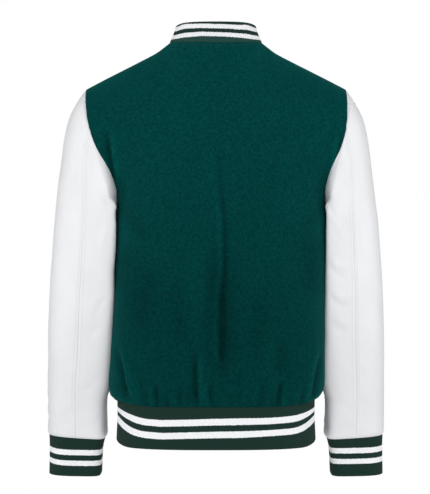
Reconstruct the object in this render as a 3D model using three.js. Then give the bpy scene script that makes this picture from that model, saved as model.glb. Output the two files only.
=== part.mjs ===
// A varsity jacket filled out as it is worn, closed down the front and empty inside.
// Sizes are in millimetres. +Z is up, the front faces -Y and +X is the wearer's left.
// The origin lies midway between the two points where a shoulder seam meets the neck.
import * as THREE from "three";

// Cloth walls and the gap that every seam leaves between two pieces
const WOOL_WALL = 2.5;
const LEATHER_WALL = 2;
const RIB_WALL = 3;
const SEAM_GAP = 0.3;

// Rib knit: how far a rib stands out of the trim, and the ribs between two neighbouring seam points
const RIB_RISE = 0.8;
const HEM_RIBS = 3;
const CUFF_RIBS = 3;
const COLLAR_RIBS = 4;

// Columns of each panel, counted along the seam that they share
const BACK_NECK_COLUMNS = 6;
const FRONT_NECK_COLUMNS = 7;
const SHOULDER_COLUMNS = 9;
const ARMHOLE_ROWS = 10;
const BODY_HEIGHTS = [-603, -592, -577, -552, -505, -435, -350, -275];

// Body sections from the hem seam up to the underarm
const BODY_BOXINESS = 3;
const SIDE_SEAM_Y = -4;
const BODY = [
  { z: -603, half: 165.5, back: 127, front: 131 },
  { z: -590, half: 177, back: 135, front: 139 },
  { z: -572, half: 180.8, back: 140, front: 144 },
  { z: -540, half: 178.8, back: 140, front: 145 },
  { z: -480, half: 176.8, back: 136, front: 142 },
  { z: -400, half: 175.2, back: 131, front: 139 },
  { z: -330, half: 174.2, back: 129, front: 139 },
  { z: -275, half: 173.5, back: 131, front: 140 },
];

// How far the hanging body leans to the wearer's right of the shoulders, by height
const SWAY = [
  { z: -740, x: 0 },
  { z: -603, x: 0 },
  { z: -570, x: -1 },
  { z: -500, x: -3.5 },
  { z: -430, x: -6 },
  { z: -365, x: -8 },
  { z: -250, x: -8 },
  { z: -180, x: -4.5 },
  { z: -76, x: 0 },
  { z: 60, x: 0 },
];

// Neck seam and shoulder seam
const NECK_HALF = 77;
const NECK_DIP = 1.5;
const NECK_SIDE_Y = 4;
const NECK_SIDE_Z = 3.5;
const NECK_BACK = { y: 66, z: -2 };
const NECK_FRONT = { y: -62, z: -72 };
const SHOULDER = [
  { x: NECK_HALF, z: NECK_SIDE_Z },
  { x: 90, z: -6.8 },
  { x: 101, z: -14.8 },
  { x: 125, z: -27.6 },
  { x: 159, z: -44.8 },
  { x: 193, z: -62 },
  { x: 220, z: -76 },
];

// How late the upper part of a panel bends in towards the neck
const UPPER_BEND = { back: 2.6, front: 1.9, shoulder: 2 };

// The arch from chest to shoulder: how round it is beside the neck and at the shoulder's tip, and
// how far out, in widths of the neck, it takes to become round
const ARCH_AT_NECK = 0.3;
const ARCH_AT_TIP = 1;
const ARCH_SPREAD = 1.5;

// How late the panel widens to the shoulders, how close to the armhole its cut shows, and how much
// closer than that the cut shows just above the underarm
const WIDENING = 1.5;
const CUT_SPREAD = 3;
const UNDERARM_CUT = 4;

// How often and how strongly a row is eased over the corner where the neck and shoulder seams meet
const EASE_PASSES = 3;
const EASE_SHARE = 0.5;

// Points of a fine line, from which the panel's points are taken
const FINE = 64;

// Armhole seam from the underarm up to the tip of the shoulder
const ARMHOLE = [
  { z: -275, x: 173.5, back: -4, front: -4 },
  { z: -262, x: 173.5, back: 34, front: -42 },
  { z: -240, x: 176, back: 56, front: -62 },
  { z: -212, x: 185, back: 70, front: -74 },
  { z: -178, x: 202.5, back: 76, front: -78 },
  { z: -144, x: 214, back: 71, front: -71 },
  { z: -110, x: 218.2, back: 54, front: -52 },
  { z: -88, x: 219.5, back: 32, front: -27 },
  { z: -76, x: 220, back: 4, front: 4 },
];

// Soft troughs of the wool, each at its distance from the centre line: the long one down the back,
// one beside each armhole and the gathers above the hem. The wearer's left is positive.
const TROUGHS = {
  back: [
    { x: -3, top: -140, deepest: -460, foot: -603, depth: 5, width: 15 },
    { x: 170, top: -120, deepest: -185, foot: -262, depth: 5, width: 13 },
    { x: -183, top: -110, deepest: -160, foot: -225, depth: 4, width: 12 },
    { x: 34, top: -510, deepest: -583, foot: -603, depth: 8, width: 12 },
    { x: 106, top: -535, deepest: -583, foot: -603, depth: 8, width: 12 },
    { x: 68, top: -560, deepest: -588, foot: -603, depth: 3, width: 12 },
    { x: -52, top: -555, deepest: -586, foot: -603, depth: 4, width: 13 },
    { x: -108, top: -530, deepest: -584, foot: -603, depth: 8, width: 12 },
  ],
  front: [
    { x: 62, top: -510, deepest: -582, foot: -603, depth: 6, width: 13 },
    { x: 112, top: -535, deepest: -584, foot: -603, depth: 7, width: 12 },
    { x: -58, top: -530, deepest: -583, foot: -603, depth: 7, width: 12 },
    { x: -106, top: -505, deepest: -582, foot: -603, depth: 6, width: 13 },
  ],
};

// The left front closes over the right one by this much past the centre, and the right one lies deeper
const OVERLAP = 15;
const UNDERLAP_DEPTH = 4.6;
const UNDERLAP_FROM = 22;
const UNDERLAP_TO = 78;

// Sleeve sections: the point on the outer line, the point on the inner line, and the depth round y
const SLEEVE_BOXINESS = { outer: 2.4, inner: 5 };
const SLEEVE = [
  { xOut: 231, zOut: -92, xIn: 178, zIn: -279, depth: 78, y: -1 },
  { xOut: 247, zOut: -122, xIn: 179, zIn: -293, depth: 76, y: -1 },
  { xOut: 256.5, zOut: -160, xIn: 178.3, zIn: -316, depth: 73, y: -2 },
  { xOut: 262.5, zOut: -205, xIn: 178, zIn: -346, depth: 70, y: -3 },
  { xOut: 270, zOut: -265, xIn: 178.6, zIn: -386, depth: 67, y: -5 },
  { xOut: 277, zOut: -340, xIn: 179.6, zIn: -435, depth: 64, y: -8 },
  { xOut: 282.5, zOut: -420, xIn: 180.4, zIn: -485, depth: 60, y: -12 },
  { xOut: 285.5, zOut: -500, xIn: 182, zIn: -540, depth: 56, y: -17 },
  { xOut: 286.5, zOut: -580, xIn: 188, zIn: -600, depth: 52, y: -23 },
  { xOut: 286.5, zOut: -640, xIn: 188, zIn: -649, depth: 49, y: -28 },
  { xOut: 286.5, zOut: -657, xIn: 188, zIn: -664, depth: 48.5, y: -29 },
  { xOut: 284, zOut: -662, xIn: 192, zIn: -668, depth: 45, y: -29.5 },
];
const CUFF = [
  { xOut: 283.5, zOut: -680, xIn: 196, zIn: -686, depth: 44, y: -31 },
  { xOut: 284.5, zOut: -730, xIn: 198.5, zIn: -731.5, depth: 43, y: -34 },
];

// Hem band, by how far each section lies below the seam, and how far round the body each of them
// starts and ends to rise at the sides, from 0 at the centre to 1 at the side seam
const HEM_SEAM_Z = -603;
const HEM = [
  { drop: 0, out: 0, rise: 4, from: 0.42, to: 0.75 },
  { drop: 36, out: -0.5, rise: 14, from: 0.5, to: 0.82 },
  { drop: 70, out: 1.5, rise: 6, from: 0.58, to: 0.88 },
];
const HEM_RISE_TOP = -565;
const HEM_RISE_FADE = 3;

// Collar, by how far each section lies from the seam that it is sewn to
const COLLAR_END_GAP = 2;
const COLLAR = [
  { rise: 0.33, lean: 0.4 },
  { rise: 0.66, lean: 0.75 },
  { rise: 1, lean: 1 },
];
const COLLAR_TOP = {
  back: { y: -12, z: 36.5 },
  side: { x: -10.5, y: -2, z: 33 },
  front: { y: -4, z: 35 },
};

// Snap fasteners down the centre front: each cap's profile as shares of its radius and height
const SNAP_RADIUS = 7.5;
const SNAP_HEIGHT = 3;
const SNAPS_AT = [-98, -188, -278, -368, -458, -548, -640];
const SNAP_SIDES = 12;
const SNAP_PROFILE = [
  { radius: 0, height: 0 },
  { radius: 0.6, height: 0 },
  { radius: 1, height: 0.35 },
  { radius: 0.85, height: 0.8 },
  { radius: 0.4, height: 1 },
  { radius: 0, height: 1 },
];

const mix = (a, b, t) => a + (b - a) * t;
const clamp01 = (t) => Math.min(1, Math.max(0, t));
const smooth = (t) => clamp01(t) ** 2 * (3 - 2 * clamp01(t));
const point = (x, y, z) => new THREE.Vector3(x, y, z);

// One column of a table at some place along another column, on a smooth curve through the rows
function along(rows, by, column, at) {
  const last = rows.length - 1;
  const ahead = Math.sign(rows[last][by] - rows[0][by]);
  let i = 0;
  while (i < last - 1 && (rows[i + 1][by] - at) * ahead < 0) i++;
  const slope = (k) => {
    const before = rows[Math.max(k - 1, 0)];
    const after = rows[Math.min(k + 1, last)];
    return (after[column] - before[column]) / (after[by] - before[by]);
  };
  const span = rows[i + 1][by] - rows[i][by];
  const t = clamp01((at - rows[i][by]) / span);
  const [a, b] = [rows[i][column], rows[i + 1][column]];
  const bend = (1 - t) ** 2 * t * slope(i) - t ** 2 * (1 - t) * slope(i + 1);
  return mix(a, b, smooth(t)) + span * bend;
}

// Points along a line of points, evenly spaced or at given shares of its length
function evenly(line, count, shareOf = (u) => u) {
  const reach = [0];
  for (let i = 1; i < line.length; i++) reach.push(reach[i - 1] + line[i].distanceTo(line[i - 1]));
  const total = reach[reach.length - 1];
  return Array.from({ length: count + 1 }, (_, k) => {
    const at = total * shareOf(k / count);
    let i = 1;
    while (i < line.length - 1 && reach[i] < at) i++;
    return line[i - 1].clone().lerp(line[i], (at - reach[i - 1]) / (reach[i] - reach[i - 1]));
  });
}

// A quarter turn sampled finely, as the shares across and in depth of a rounded box
function quarter(boxiness, place) {
  return Array.from({ length: FINE + 1 }, (_, k) => {
    const turn = (k / FINE) * (Math.PI / 2);
    return place(Math.sin(turn) ** (2 / boxiness), Math.cos(turn) ** (2 / boxiness));
  });
}

// The right front and the ends of the trims sewn to it lie behind the left front
function underlap(x) {
  return UNDERLAP_DEPTH * (1 - smooth((Math.abs(x) - UNDERLAP_FROM) / (UNDERLAP_TO - UNDERLAP_FROM)));
}

// How far a section of the hem band is raised at some share of the way from the centre to the side seam
const hemRise = (row, u) => row.rise * smooth((u - row.from) / (row.to - row.from));

// One row round half of the body, from the centre to the side seam or to a share of the way there
function bodyRow(face, z, columns, shareOf) {
  const half = along(BODY, "z", "half", z);
  const depth = along(BODY, "z", face, z) + (face === "front" ? SIDE_SEAM_Y : -SIDE_SEAM_Y);
  const toward = face === "front" ? -1 : 1;
  const line = quarter(BODY_BOXINESS, (across, deep) =>
    point(half * across, SIDE_SEAM_Y + toward * depth * deep, z),
  );
  const start = face === "front" ? [point(-OVERLAP, line[0].y, z)] : [];
  const points = evenly(line, columns - start.length, shareOf);
  const raised = smooth((HEM_RISE_TOP - z) / (HEM_RISE_TOP - HEM_SEAM_Z)) ** HEM_RISE_FADE;
  points.forEach((p, k) => (p.z += raised * hemRise(HEM[0], k / (points.length - 1))));
  return [...start, ...points];
}

// The share of the underarm section that is left when the armhole cuts it at some depth
function shareLeft(face, depth) {
  const row = bodyRow(face, BODY_HEIGHTS[BODY_HEIGHTS.length - 1], 8 * FINE);
  const fine = face === "front" ? row.slice(1) : row;
  return fine.findIndex((p) => Math.abs(p.y) <= Math.abs(depth)) / (fine.length - 1);
}

// The top row of half a panel: the neck seam, then the shoulder seam
function topRow(face) {
  const centre = face === "front" ? NECK_FRONT : NECK_BACK;
  const columns = face === "front" ? FRONT_NECK_COLUMNS : BACK_NECK_COLUMNS;
  const neck = quarter(2, (across, deep) =>
    point(
      NECK_HALF * across,
      mix(NECK_SIDE_Y, centre.y, deep),
      mix(NECK_SIDE_Z, centre.z, deep ** NECK_DIP),
    ),
  );
  const shoulder = Array.from({ length: FINE + 1 }, (_, k) => {
    const x = mix(NECK_HALF, SHOULDER[SHOULDER.length - 1].x, k / FINE);
    return point(x, NECK_SIDE_Y, along(SHOULDER, "x", "z", x));
  });
  const start = face === "front" ? [point(-OVERLAP, centre.y, centre.z)] : [];
  return [...start, ...evenly(neck, columns), ...evenly(shoulder, SHOULDER_COLUMNS).slice(1)];
}

// How far the wool sinks in at its troughs
function trough(face, x, z) {
  return TROUGHS[face].reduce((sum, one) => {
    const end = z < one.deepest ? one.foot : one.top;
    const run = smooth((z - end) / (one.deepest - end));
    return sum + one.depth * run * Math.exp(-(((x - one.x) / one.width) ** 2));
  }, 0);
}

// A row again with its corners eased by some share, its first and last points kept
function eased(row, share) {
  let points = row;
  for (let pass = 0; pass < EASE_PASSES; pass++) {
    points = points.map((p, j) => {
      if (j === 0 || j === points.length - 1) return p;
      return p.clone().lerp(points[j - 1].clone().lerp(points[j + 1], 0.5), share);
    });
  }
  return points;
}

// Half of a panel as rows of points, from the hem up to the neck and shoulder seams
function halfPanel(face) {
  const top = topRow(face);
  const columns = top.length - 1;
  const start = face === "front" ? 1 : 0;
  const lower = BODY_HEIGHTS.map((z) => bodyRow(face, z, columns));
  const base = lower[lower.length - 1];
  const neckShare = (columns - SHOULDER_COLUMNS - start) / (columns - start);
  const upper = [];
  let cutDepth = 0;
  for (let row = 1; row <= ARMHOLE_ROWS; row++) {
    const climb = (1 - Math.cos((Math.PI * row) / ARMHOLE_ROWS)) / 2;
    const bent = (u) => {
      const arch = smooth(u / neckShare / ARCH_SPREAD) * mix(ARCH_AT_NECK, ARCH_AT_TIP, u);
      return 1 - (1 - climb ** mix(UPPER_BEND[face], UPPER_BEND.shoulder, arch)) ** (1 / (1 + arch));
    };
    const edgeZ = mix(base[columns].z, top[columns].z, climb);
    const seam = point(along(ARMHOLE, "z", "x", edgeZ), along(ARMHOLE, "z", face, edgeZ), edgeZ);
    if (row < ARMHOLE_ROWS) cutDepth = (seam.y - top[columns].y * bent(1)) / (1 - bent(1));
    const cut = 1 - shareLeft(face, cutDepth);
    const spread = 1 + UNDERARM_CUT * (1 - climb) ** UNDERARM_CUT;
    const under = bodyRow(face, base[0].z, columns, (u) => u - cut * u ** spread);
    const shareAt = (column) => Math.max(0, (column - start) / (columns - start));
    const points = under.map((low, column) =>
      point(
        mix(low.x, top[column].x, climb ** WIDENING),
        mix(low.y, top[column].y, bent(shareAt(column))),
        mix(low.z, top[column].z, climb),
      ),
    );
    const move = seam.sub(points[columns]);
    points.forEach((p, column) => p.addScaledVector(move, shareAt(column) ** CUT_SPREAD));
    upper.push([...points.slice(0, start), ...eased(points.slice(start), EASE_SHARE * Math.sqrt(1 - climb))]);
  }
  return [...lower, ...upper];
}

// The half panel on one side of the body, with its sway, troughs and underlap.
// The side is 1 on the wearer's left and -1 on the right.
function placed(rows, face, side) {
  const inward = face === "front" ? 1 : -1;
  return rows.map((row) =>
    row.map((p) => {
      const under = face === "front" && side < 0 ? underlap(p.x) : 0;
      const sunk = trough(face, side * p.x, p.z);
      return point(side * p.x + along(SWAY, "z", "x", p.z), p.y + inward * (under + sunk), p.z);
    }),
  );
}

// A round section of a sleeve or cuff: the angle starts at the outer line and goes by the back
function armSection(row, side, column, columns) {
  const turn = (2 * Math.PI * column) / columns;
  const boxiness = Math.cos(turn) > 0 ? SLEEVE_BOXINESS.outer : SLEEVE_BOXINESS.inner;
  const shape = (v) => Math.sign(v) * Math.abs(v) ** (2 / boxiness);
  const out = (1 + shape(Math.cos(turn))) / 2;
  const xIn = side * row.xIn + along(SWAY, "z", "x", row.zIn);
  return point(
    mix(xIn, side * row.xOut, out),
    row.y + row.depth * shape(Math.sin(turn)),
    mix(row.zIn, row.zOut, out),
  );
}

// The points of the armhole all round, from the tip of the shoulder down the back and up the front
function armholeLoop(back, front) {
  const rise = (grid) => grid.slice(-ARMHOLE_ROWS - 1).map((row) => row[row.length - 1]);
  return [...rise(back).reverse(), ...rise(front).slice(1)];
}

// Seen from outside, a grid's columns run from left to right and its rows run up.
// A grid laid out the other way is turned round here.
const turned = (rows) => rows.map((row) => [...row].reverse());

// Normals of several grids together, so that pieces sewn to each other share them along the seam
const keyOf = (p) => [p.x, p.y, p.z].map((v) => Math.round(v * 100)).join();
function sharedNormals(grids) {
  const sums = new Map();
  const add = (p, n) => {
    if (!sums.has(keyOf(p))) sums.set(keyOf(p), point(0, 0, 0));
    sums.get(keyOf(p)).add(n);
  };
  for (const rows of grids) {
    for (let i = 0; i + 1 < rows.length; i++) {
      for (let j = 0; j + 1 < rows[i].length; j++) {
        const [a, b, c, d] = [rows[i][j], rows[i][j + 1], rows[i + 1][j + 1], rows[i + 1][j]];
        const n = c.clone().sub(a).cross(d.clone().sub(b)).normalize();
        [a, b, c, d].forEach((p) => add(p, n));
      }
    }
  }
  return (p) => sums.get(keyOf(p)).clone().normalize();
}

// How a border point moves so that both edges that meet in it are drawn in by the same distance
function inset(before, at, after, normal, by) {
  const ways = [];
  if (before) ways.push(normal.clone().cross(at.clone().sub(before)).normalize());
  if (after) ways.push(normal.clone().cross(after.clone().sub(at)).normalize());
  const [first, second = first] = ways;
  return first.clone().add(second).multiplyScalar(by / (1 + first.dot(second)));
}

// The grid again with its sewn or free edges drawn in along the cloth
function drawnIn(rows, normals, { bottom = 0, top = 0, left = 0, right = 0 }, closed) {
  const last = rows.length - 1;
  const end = rows[0].length - 1;
  const beside = (row, j) => {
    if (closed && j < 0) return row[end - 1];
    return closed && j > end ? row[1] : row[j];
  };
  return rows.map((row, i) =>
    row.map((p, j) => {
      const n = normals[i][j];
      const moved = p.clone();
      const across = (by) => moved.add(inset(beside(row, j - 1), p, beside(row, j + 1), n, by));
      const upward = (by) => moved.add(inset(rows[i - 1]?.[j], p, rows[i + 1]?.[j], n, by));
      if (i === 0 && bottom) across(bottom);
      if (i === last && top) across(-top);
      if (j === 0 && left) upward(-left);
      if (j === end && right) upward(right);
      return moved;
    }),
  );
}

// Triangles of a closed wall: an outer and an inner sheet with their edges joined.
// The outer sheet may hold several columns for each column of the inner one.
function wallGeometry(outer, inner, closed) {
  const positions = [];
  const triangle = (a, b, c) => [a, b, c].forEach((p) => positions.push(p.x, p.y, p.z));
  const quad = (a, b, c, d) => {
    triangle(a, b, c);
    triangle(a, c, d);
  };
  const sheet = (rows, facing) => {
    for (let i = 0; i + 1 < rows.length; i++) {
      for (let j = 0; j + 1 < rows[i].length; j++) {
        const corners = [rows[i][j], rows[i][j + 1], rows[i + 1][j + 1], rows[i + 1][j]];
        quad(...(facing ? corners : corners.reverse()));
      }
    }
  };
  const rim = (out, inn, facing) => {
    const step = (out.length - 1) / (inn.length - 1);
    for (let j = 0; j + 1 < inn.length; j++) {
      const middle = j * step + Math.floor(step / 2);
      for (let k = j * step; k < (j + 1) * step; k++) {
        const near = k < middle ? inn[j] : inn[j + 1];
        triangle(...(facing ? [out[k + 1], out[k], near] : [out[k], out[k + 1], near]));
      }
      const tip = out[middle];
      triangle(...(facing ? [inn[j], inn[j + 1], tip] : [inn[j + 1], inn[j], tip]));
    }
  };
  sheet(outer, true);
  sheet(inner, false);
  rim(outer[0], inner[0], true);
  rim(outer[outer.length - 1], inner[inner.length - 1], false);
  if (!closed) {
    for (let i = 0; i + 1 < inner.length; i++) {
      const [o, n] = [outer[i], inner[i]];
      const [oUp, nUp] = [outer[i + 1], inner[i + 1]];
      quad(n[0], o[0], oUp[0], nUp[0]);
      quad(o[o.length - 1], n[n.length - 1], nUp[n.length - 1], oUp[o.length - 1]);
    }
  }
  const geometry = new THREE.BufferGeometry();
  geometry.setAttribute("position", new THREE.Float32BufferAttribute(positions, 3));
  geometry.computeVertexNormals();
  return geometry;
}

// A cloth piece from its grid: the wall's faces lie half a wall to each side of the points
function clothWall(rows, normalOf, wall, edges, { ribs = 0, closed = false } = {}) {
  const normals = rows.map((row) => row.map(normalOf));
  const middle = drawnIn(rows, normals, edges, closed);
  const offset = (by) =>
    middle.map((row, i) => row.map((p, j) => p.clone().addScaledVector(normals[i][j], by)));
  const inner = offset(-wall / 2);
  let outer = offset(wall / 2);
  if (ribs) {
    outer = outer.map((row, i) => {
      const fine = [];
      const parts = 2 * ribs;
      for (let k = 0; k <= (row.length - 1) * parts; k++) {
        const j = Math.min(Math.floor(k / parts), row.length - 2);
        const share = k / parts - j;
        const normal = normals[i][j].clone().lerp(normals[i][j + 1], share).normalize();
        const rise = (k % 2 ? RIB_RISE : -RIB_RISE) / 2;
        fine.push(row[j].clone().lerp(row[j + 1], share).addScaledVector(normal, rise));
      }
      return fine;
    });
  }
  return wallGeometry(outer, inner, closed);
}

// Material of each kind of cloth
const WOOL = new THREE.MeshStandardMaterial({ color: 0x04403c, roughness: 0.95, metalness: 0 });
const LEATHER = new THREE.MeshStandardMaterial({ color: 0xebecee, roughness: 0.5, metalness: 0 });
const KNIT = new THREE.MeshStandardMaterial({ color: 0x1d332e, roughness: 0.9, metalness: 0 });
const METAL = new THREE.MeshStandardMaterial({ color: 0x0b2b29, roughness: 0.35, metalness: 0.6 });

// Body panels as grids
const backHalf = halfPanel("back");
const frontHalf = halfPanel("front");
const backs = { left: placed(backHalf, "back", 1), right: placed(backHalf, "back", -1) };
const fronts = { left: placed(frontHalf, "front", 1), right: placed(frontHalf, "front", -1) };
const back = turned(backs.left).map((row, i) => [...row, ...backs.right[i].slice(1)]);
const frontLeft = fronts.left;
const frontRight = turned(fronts.right);

// Sleeve and cuff of one side as rows going up from the wrist; the last row is the armhole itself
function sleeveGrid(name, side) {
  const loop = armholeLoop(backs[name], fronts[name]);
  const columns = loop.length - 1;
  const ring = (row) => loop.map((_, column) => armSection(row, side, column, columns));
  const sleeve = [...[...SLEEVE].reverse().map(ring), loop];
  const cuff = [...[...CUFF].reverse().map(ring), ring(SLEEVE[SLEEVE.length - 1])];
  const facing = (rows) => (side > 0 ? rows : turned(rows));
  return { sleeve: facing(sleeve), cuff: facing(cuff) };
}
const arms = { left: sleeveGrid("left", 1), right: sleeveGrid("right", -1) };

// Hem band: rows going up to the hem seam, all round from the left front edge by the back to the right one
function hemGrid() {
  const seam = [...frontLeft[0], ...back[0].slice(1), ...frontRight[0].slice(1)];
  const [frontColumns, backColumns] = [frontLeft[0].length - 2, (back[0].length - 1) / 2];
  const sides = [frontColumns + 1, frontColumns + 1 + 2 * backColumns];
  const toSide = seam.map((_, k) => {
    const fromSide = Math.min(...sides.map((at) => Math.abs(k - at)));
    const behind = k > sides[0] && k < sides[1];
    return 1 - fromSide / (behind ? backColumns : frontColumns);
  });
  const below = HEM.slice(1).map((row) =>
    seam.map((p, k) => {
      const out = point(p.x, p.y - SIDE_SEAM_Y, 0).setLength(row.out);
      return point(p.x + out.x, p.y + out.y, HEM_SEAM_Z - row.drop + hemRise(row, toSide[k]));
    }),
  );
  return [...below.reverse(), seam];
}

// Neck seam all round, from the left end of the collar by the back to the right end
function neckSeam() {
  const topOf = (rows) => rows[rows.length - 1];
  const leftPart = topOf(frontLeft).slice(1, -SHOULDER_COLUMNS);
  const backPart = topOf(back).slice(SHOULDER_COLUMNS + 1, -SHOULDER_COLUMNS);
  const rightPart = topOf(frontRight).slice(SHOULDER_COLUMNS + 1, -1);
  return [...leftPart, ...backPart, ...rightPart];
}

// Collar: rows going up from the neck seam, leaning in towards the neck
function collarGrid() {
  const seam = neckSeam();
  const top = seam.map((p) => {
    const front = p.y < NECK_SIDE_Y;
    const centre = front ? COLLAR_TOP.front : COLLAR_TOP.back;
    const reach = clamp01(Math.abs(p.x) / NECK_HALF);
    const share = reach ** 2;
    return point(
      Math.sign(p.x) * COLLAR_TOP.side.x * reach,
      mix(centre.y, COLLAR_TOP.side.y, share),
      mix(centre.z, COLLAR_TOP.side.z, share),
    );
  });
  const rows = COLLAR.map(({ rise, lean }) =>
    seam.map((p, j) => point(p.x + top[j].x * lean, p.y + top[j].y * lean, p.z + top[j].z * rise)),
  );
  return [seam, ...rows];
}

const hem = hemGrid();
const collar = collarGrid();
const normalOf = sharedNormals([
  back,
  frontLeft,
  frontRight,
  hem,
  collar,
  arms.left.sleeve,
  arms.left.cuff,
  arms.right.sleeve,
  arms.right.cuff,
]);

const jacket = new THREE.Group();
function add(name, geometry, material) {
  const mesh = new THREE.Mesh(geometry, material);
  mesh.name = name;
  jacket.add(mesh);
}

const half = SEAM_GAP / 2;
const allSewn = { bottom: half, top: half, left: half, right: half };
add("back", clothWall(back, normalOf, WOOL_WALL, allSewn), WOOL);
add("front_left", clothWall(frontLeft, normalOf, WOOL_WALL, allSewn), WOOL);
add("front_right", clothWall(frontRight, normalOf, WOOL_WALL, allSewn), WOOL);
add("hem_rib", clothWall(hem, normalOf, RIB_WALL, { ...allSewn, bottom: 0 }, { ribs: HEM_RIBS }), KNIT);
const collarEdges = { bottom: SEAM_GAP, left: COLLAR_END_GAP / 2, right: COLLAR_END_GAP / 2 };
add("collar_rib", clothWall(collar, normalOf, RIB_WALL, collarEdges, { ribs: COLLAR_RIBS }), KNIT);

// Each sleeve is cut in two: the upper piece round the outer line and the under piece by the body
for (const [name, arm] of Object.entries(arms)) {
  const quarterTurn = ARMHOLE_ROWS / 2;
  const open = arm.sleeve.map((row) => row.slice(0, -1));
  const cut = (from, count) =>
    open.map((row) => Array.from({ length: count + 1 }, (_, k) => row[(from + k) % row.length]));
  const outerPiece = cut(3 * quarterTurn, 2 * quarterTurn);
  const underPiece = cut(quarterTurn, 2 * quarterTurn);
  add("sleeve_upper_" + name, clothWall(outerPiece, normalOf, LEATHER_WALL, allSewn), LEATHER);
  add("sleeve_under_" + name, clothWall(underPiece, normalOf, LEATHER_WALL, allSewn), LEATHER);
  const cuffShape = { ribs: CUFF_RIBS, closed: true };
  add("cuff_rib_" + name, clothWall(arm.cuff, normalOf, RIB_WALL, { top: half }, cuffShape), KNIT);
}

// Snap caps: a low dome with a rolled rim, standing on the left front and the last on the hem band
function snapGeometry() {
  const profile = SNAP_PROFILE.map(
    ({ radius, height }) => new THREE.Vector2(SNAP_RADIUS * radius, SNAP_HEIGHT * height),
  );
  return new THREE.LatheGeometry(profile, SNAP_SIDES).rotateX(Math.PI / 2);
}

// Depth of the left front's points on the centre line at some height, and the slope of the cloth there
function centreFront(z) {
  const line = [...hem.slice(0, -1), ...frontLeft].map((row) => row[1]);
  let i = 0;
  while (i < line.length - 2 && line[i + 1].z < z) i++;
  const [low, high] = [line[i], line[i + 1]];
  const normal = point(0, low.z - high.z, high.y - low.y).normalize();
  return { foot: low.clone().lerp(high, (z - low.z) / (high.z - low.z)), normal };
}

SNAPS_AT.forEach((z, k) => {
  const { foot, normal } = centreFront(z);
  const wall = z < HEM_SEAM_Z ? RIB_WALL + RIB_RISE : WOOL_WALL;
  const mesh = new THREE.Mesh(snapGeometry(), METAL);
  mesh.name = "snap_" + (k + 1);
  mesh.position.copy(foot).addScaledVector(normal, wall / 2 + SEAM_GAP);
  mesh.quaternion.setFromUnitVectors(point(0, 0, 1), normal);
  jacket.add(mesh);
});

export default jacket;
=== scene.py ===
import math

import bpy
import numpy as np
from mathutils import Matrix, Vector


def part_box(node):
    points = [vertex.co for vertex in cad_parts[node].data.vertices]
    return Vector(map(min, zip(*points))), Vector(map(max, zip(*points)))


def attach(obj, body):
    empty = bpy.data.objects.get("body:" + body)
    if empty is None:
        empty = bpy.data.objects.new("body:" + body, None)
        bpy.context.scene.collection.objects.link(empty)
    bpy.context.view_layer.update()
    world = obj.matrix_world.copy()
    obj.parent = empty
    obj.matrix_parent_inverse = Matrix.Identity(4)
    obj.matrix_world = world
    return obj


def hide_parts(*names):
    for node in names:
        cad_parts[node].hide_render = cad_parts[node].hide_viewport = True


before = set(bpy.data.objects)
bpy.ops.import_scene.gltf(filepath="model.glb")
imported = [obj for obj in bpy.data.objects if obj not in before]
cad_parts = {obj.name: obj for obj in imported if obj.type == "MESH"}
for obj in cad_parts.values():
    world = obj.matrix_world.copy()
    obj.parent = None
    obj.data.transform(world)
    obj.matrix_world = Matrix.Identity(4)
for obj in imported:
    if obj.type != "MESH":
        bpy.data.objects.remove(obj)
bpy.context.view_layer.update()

SCENE = bpy.context.scene
MM = 0.001

# sizes, in mm, as in the solids

WOOL_WALL, LEATHER_WALL, RIB_WALL, SEAM_GAP = 2.5, 2.0, 3.0, 0.3
RIB_RISE, RIB_PITCH = 0.8, 3.6
# the neck's share of a panel's top, and the panel's column in BODY and ARMHOLE
NECK_SHARE = {"back": 6 / 15, "front": 7 / 16}
FACE_COLUMN = {"back": 2, "front": 3}
BODY_FOOT, UNDERARM = -603.0, -275.0
SIDE_Y = -4.0
CLIMBS = 10

# z, half width, back depth, front depth
BODY = np.array([
    (-603, 165.5, 127, 131), (-590, 177, 135, 139), (-572, 180.8, 140, 144), (-540, 178.8, 140, 145),
    (-480, 176.8, 136, 142), (-400, 175.2, 131, 139), (-330, 174.2, 129, 139), (-275, 173.5, 131, 140),
], float)
# z, x
SWAY = np.array([
    (-740, 0), (-603, 0), (-570, -1), (-500, -3.5), (-430, -6), (-365, -8), (-250, -8),
    (-180, -4.5), (-76, 0), (60, 0),
], float)
NECK_HALF, NECK_DIP, NECK_SIDE_Y, NECK_SIDE_Z = 77.0, 1.5, 4.0, 3.5
NECK_CENTRE = {"back": (66.0, -2.0), "front": (-62.0, -72.0)}
# x, z
SHOULDER = np.array([
    (77, 3.5), (90, -6.8), (101, -14.8), (125, -27.6), (159, -44.8), (193, -62), (220, -76),
], float)
UPPER_BEND = {"back": 2.6, "front": 1.9}
SHOULDER_BEND = 2.0
# z, x, back, front
ARMHOLE = np.array([
    (-275, 173.5, -4, -4), (-262, 173.5, 34, -42), (-240, 176, 56, -62), (-212, 185, 70, -74),
    (-178, 202.5, 76, -78), (-144, 214, 71, -71), (-110, 218.2, 54, -52), (-88, 219.5, 32, -27),
    (-76, 220, 4, 4),
], float)
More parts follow.
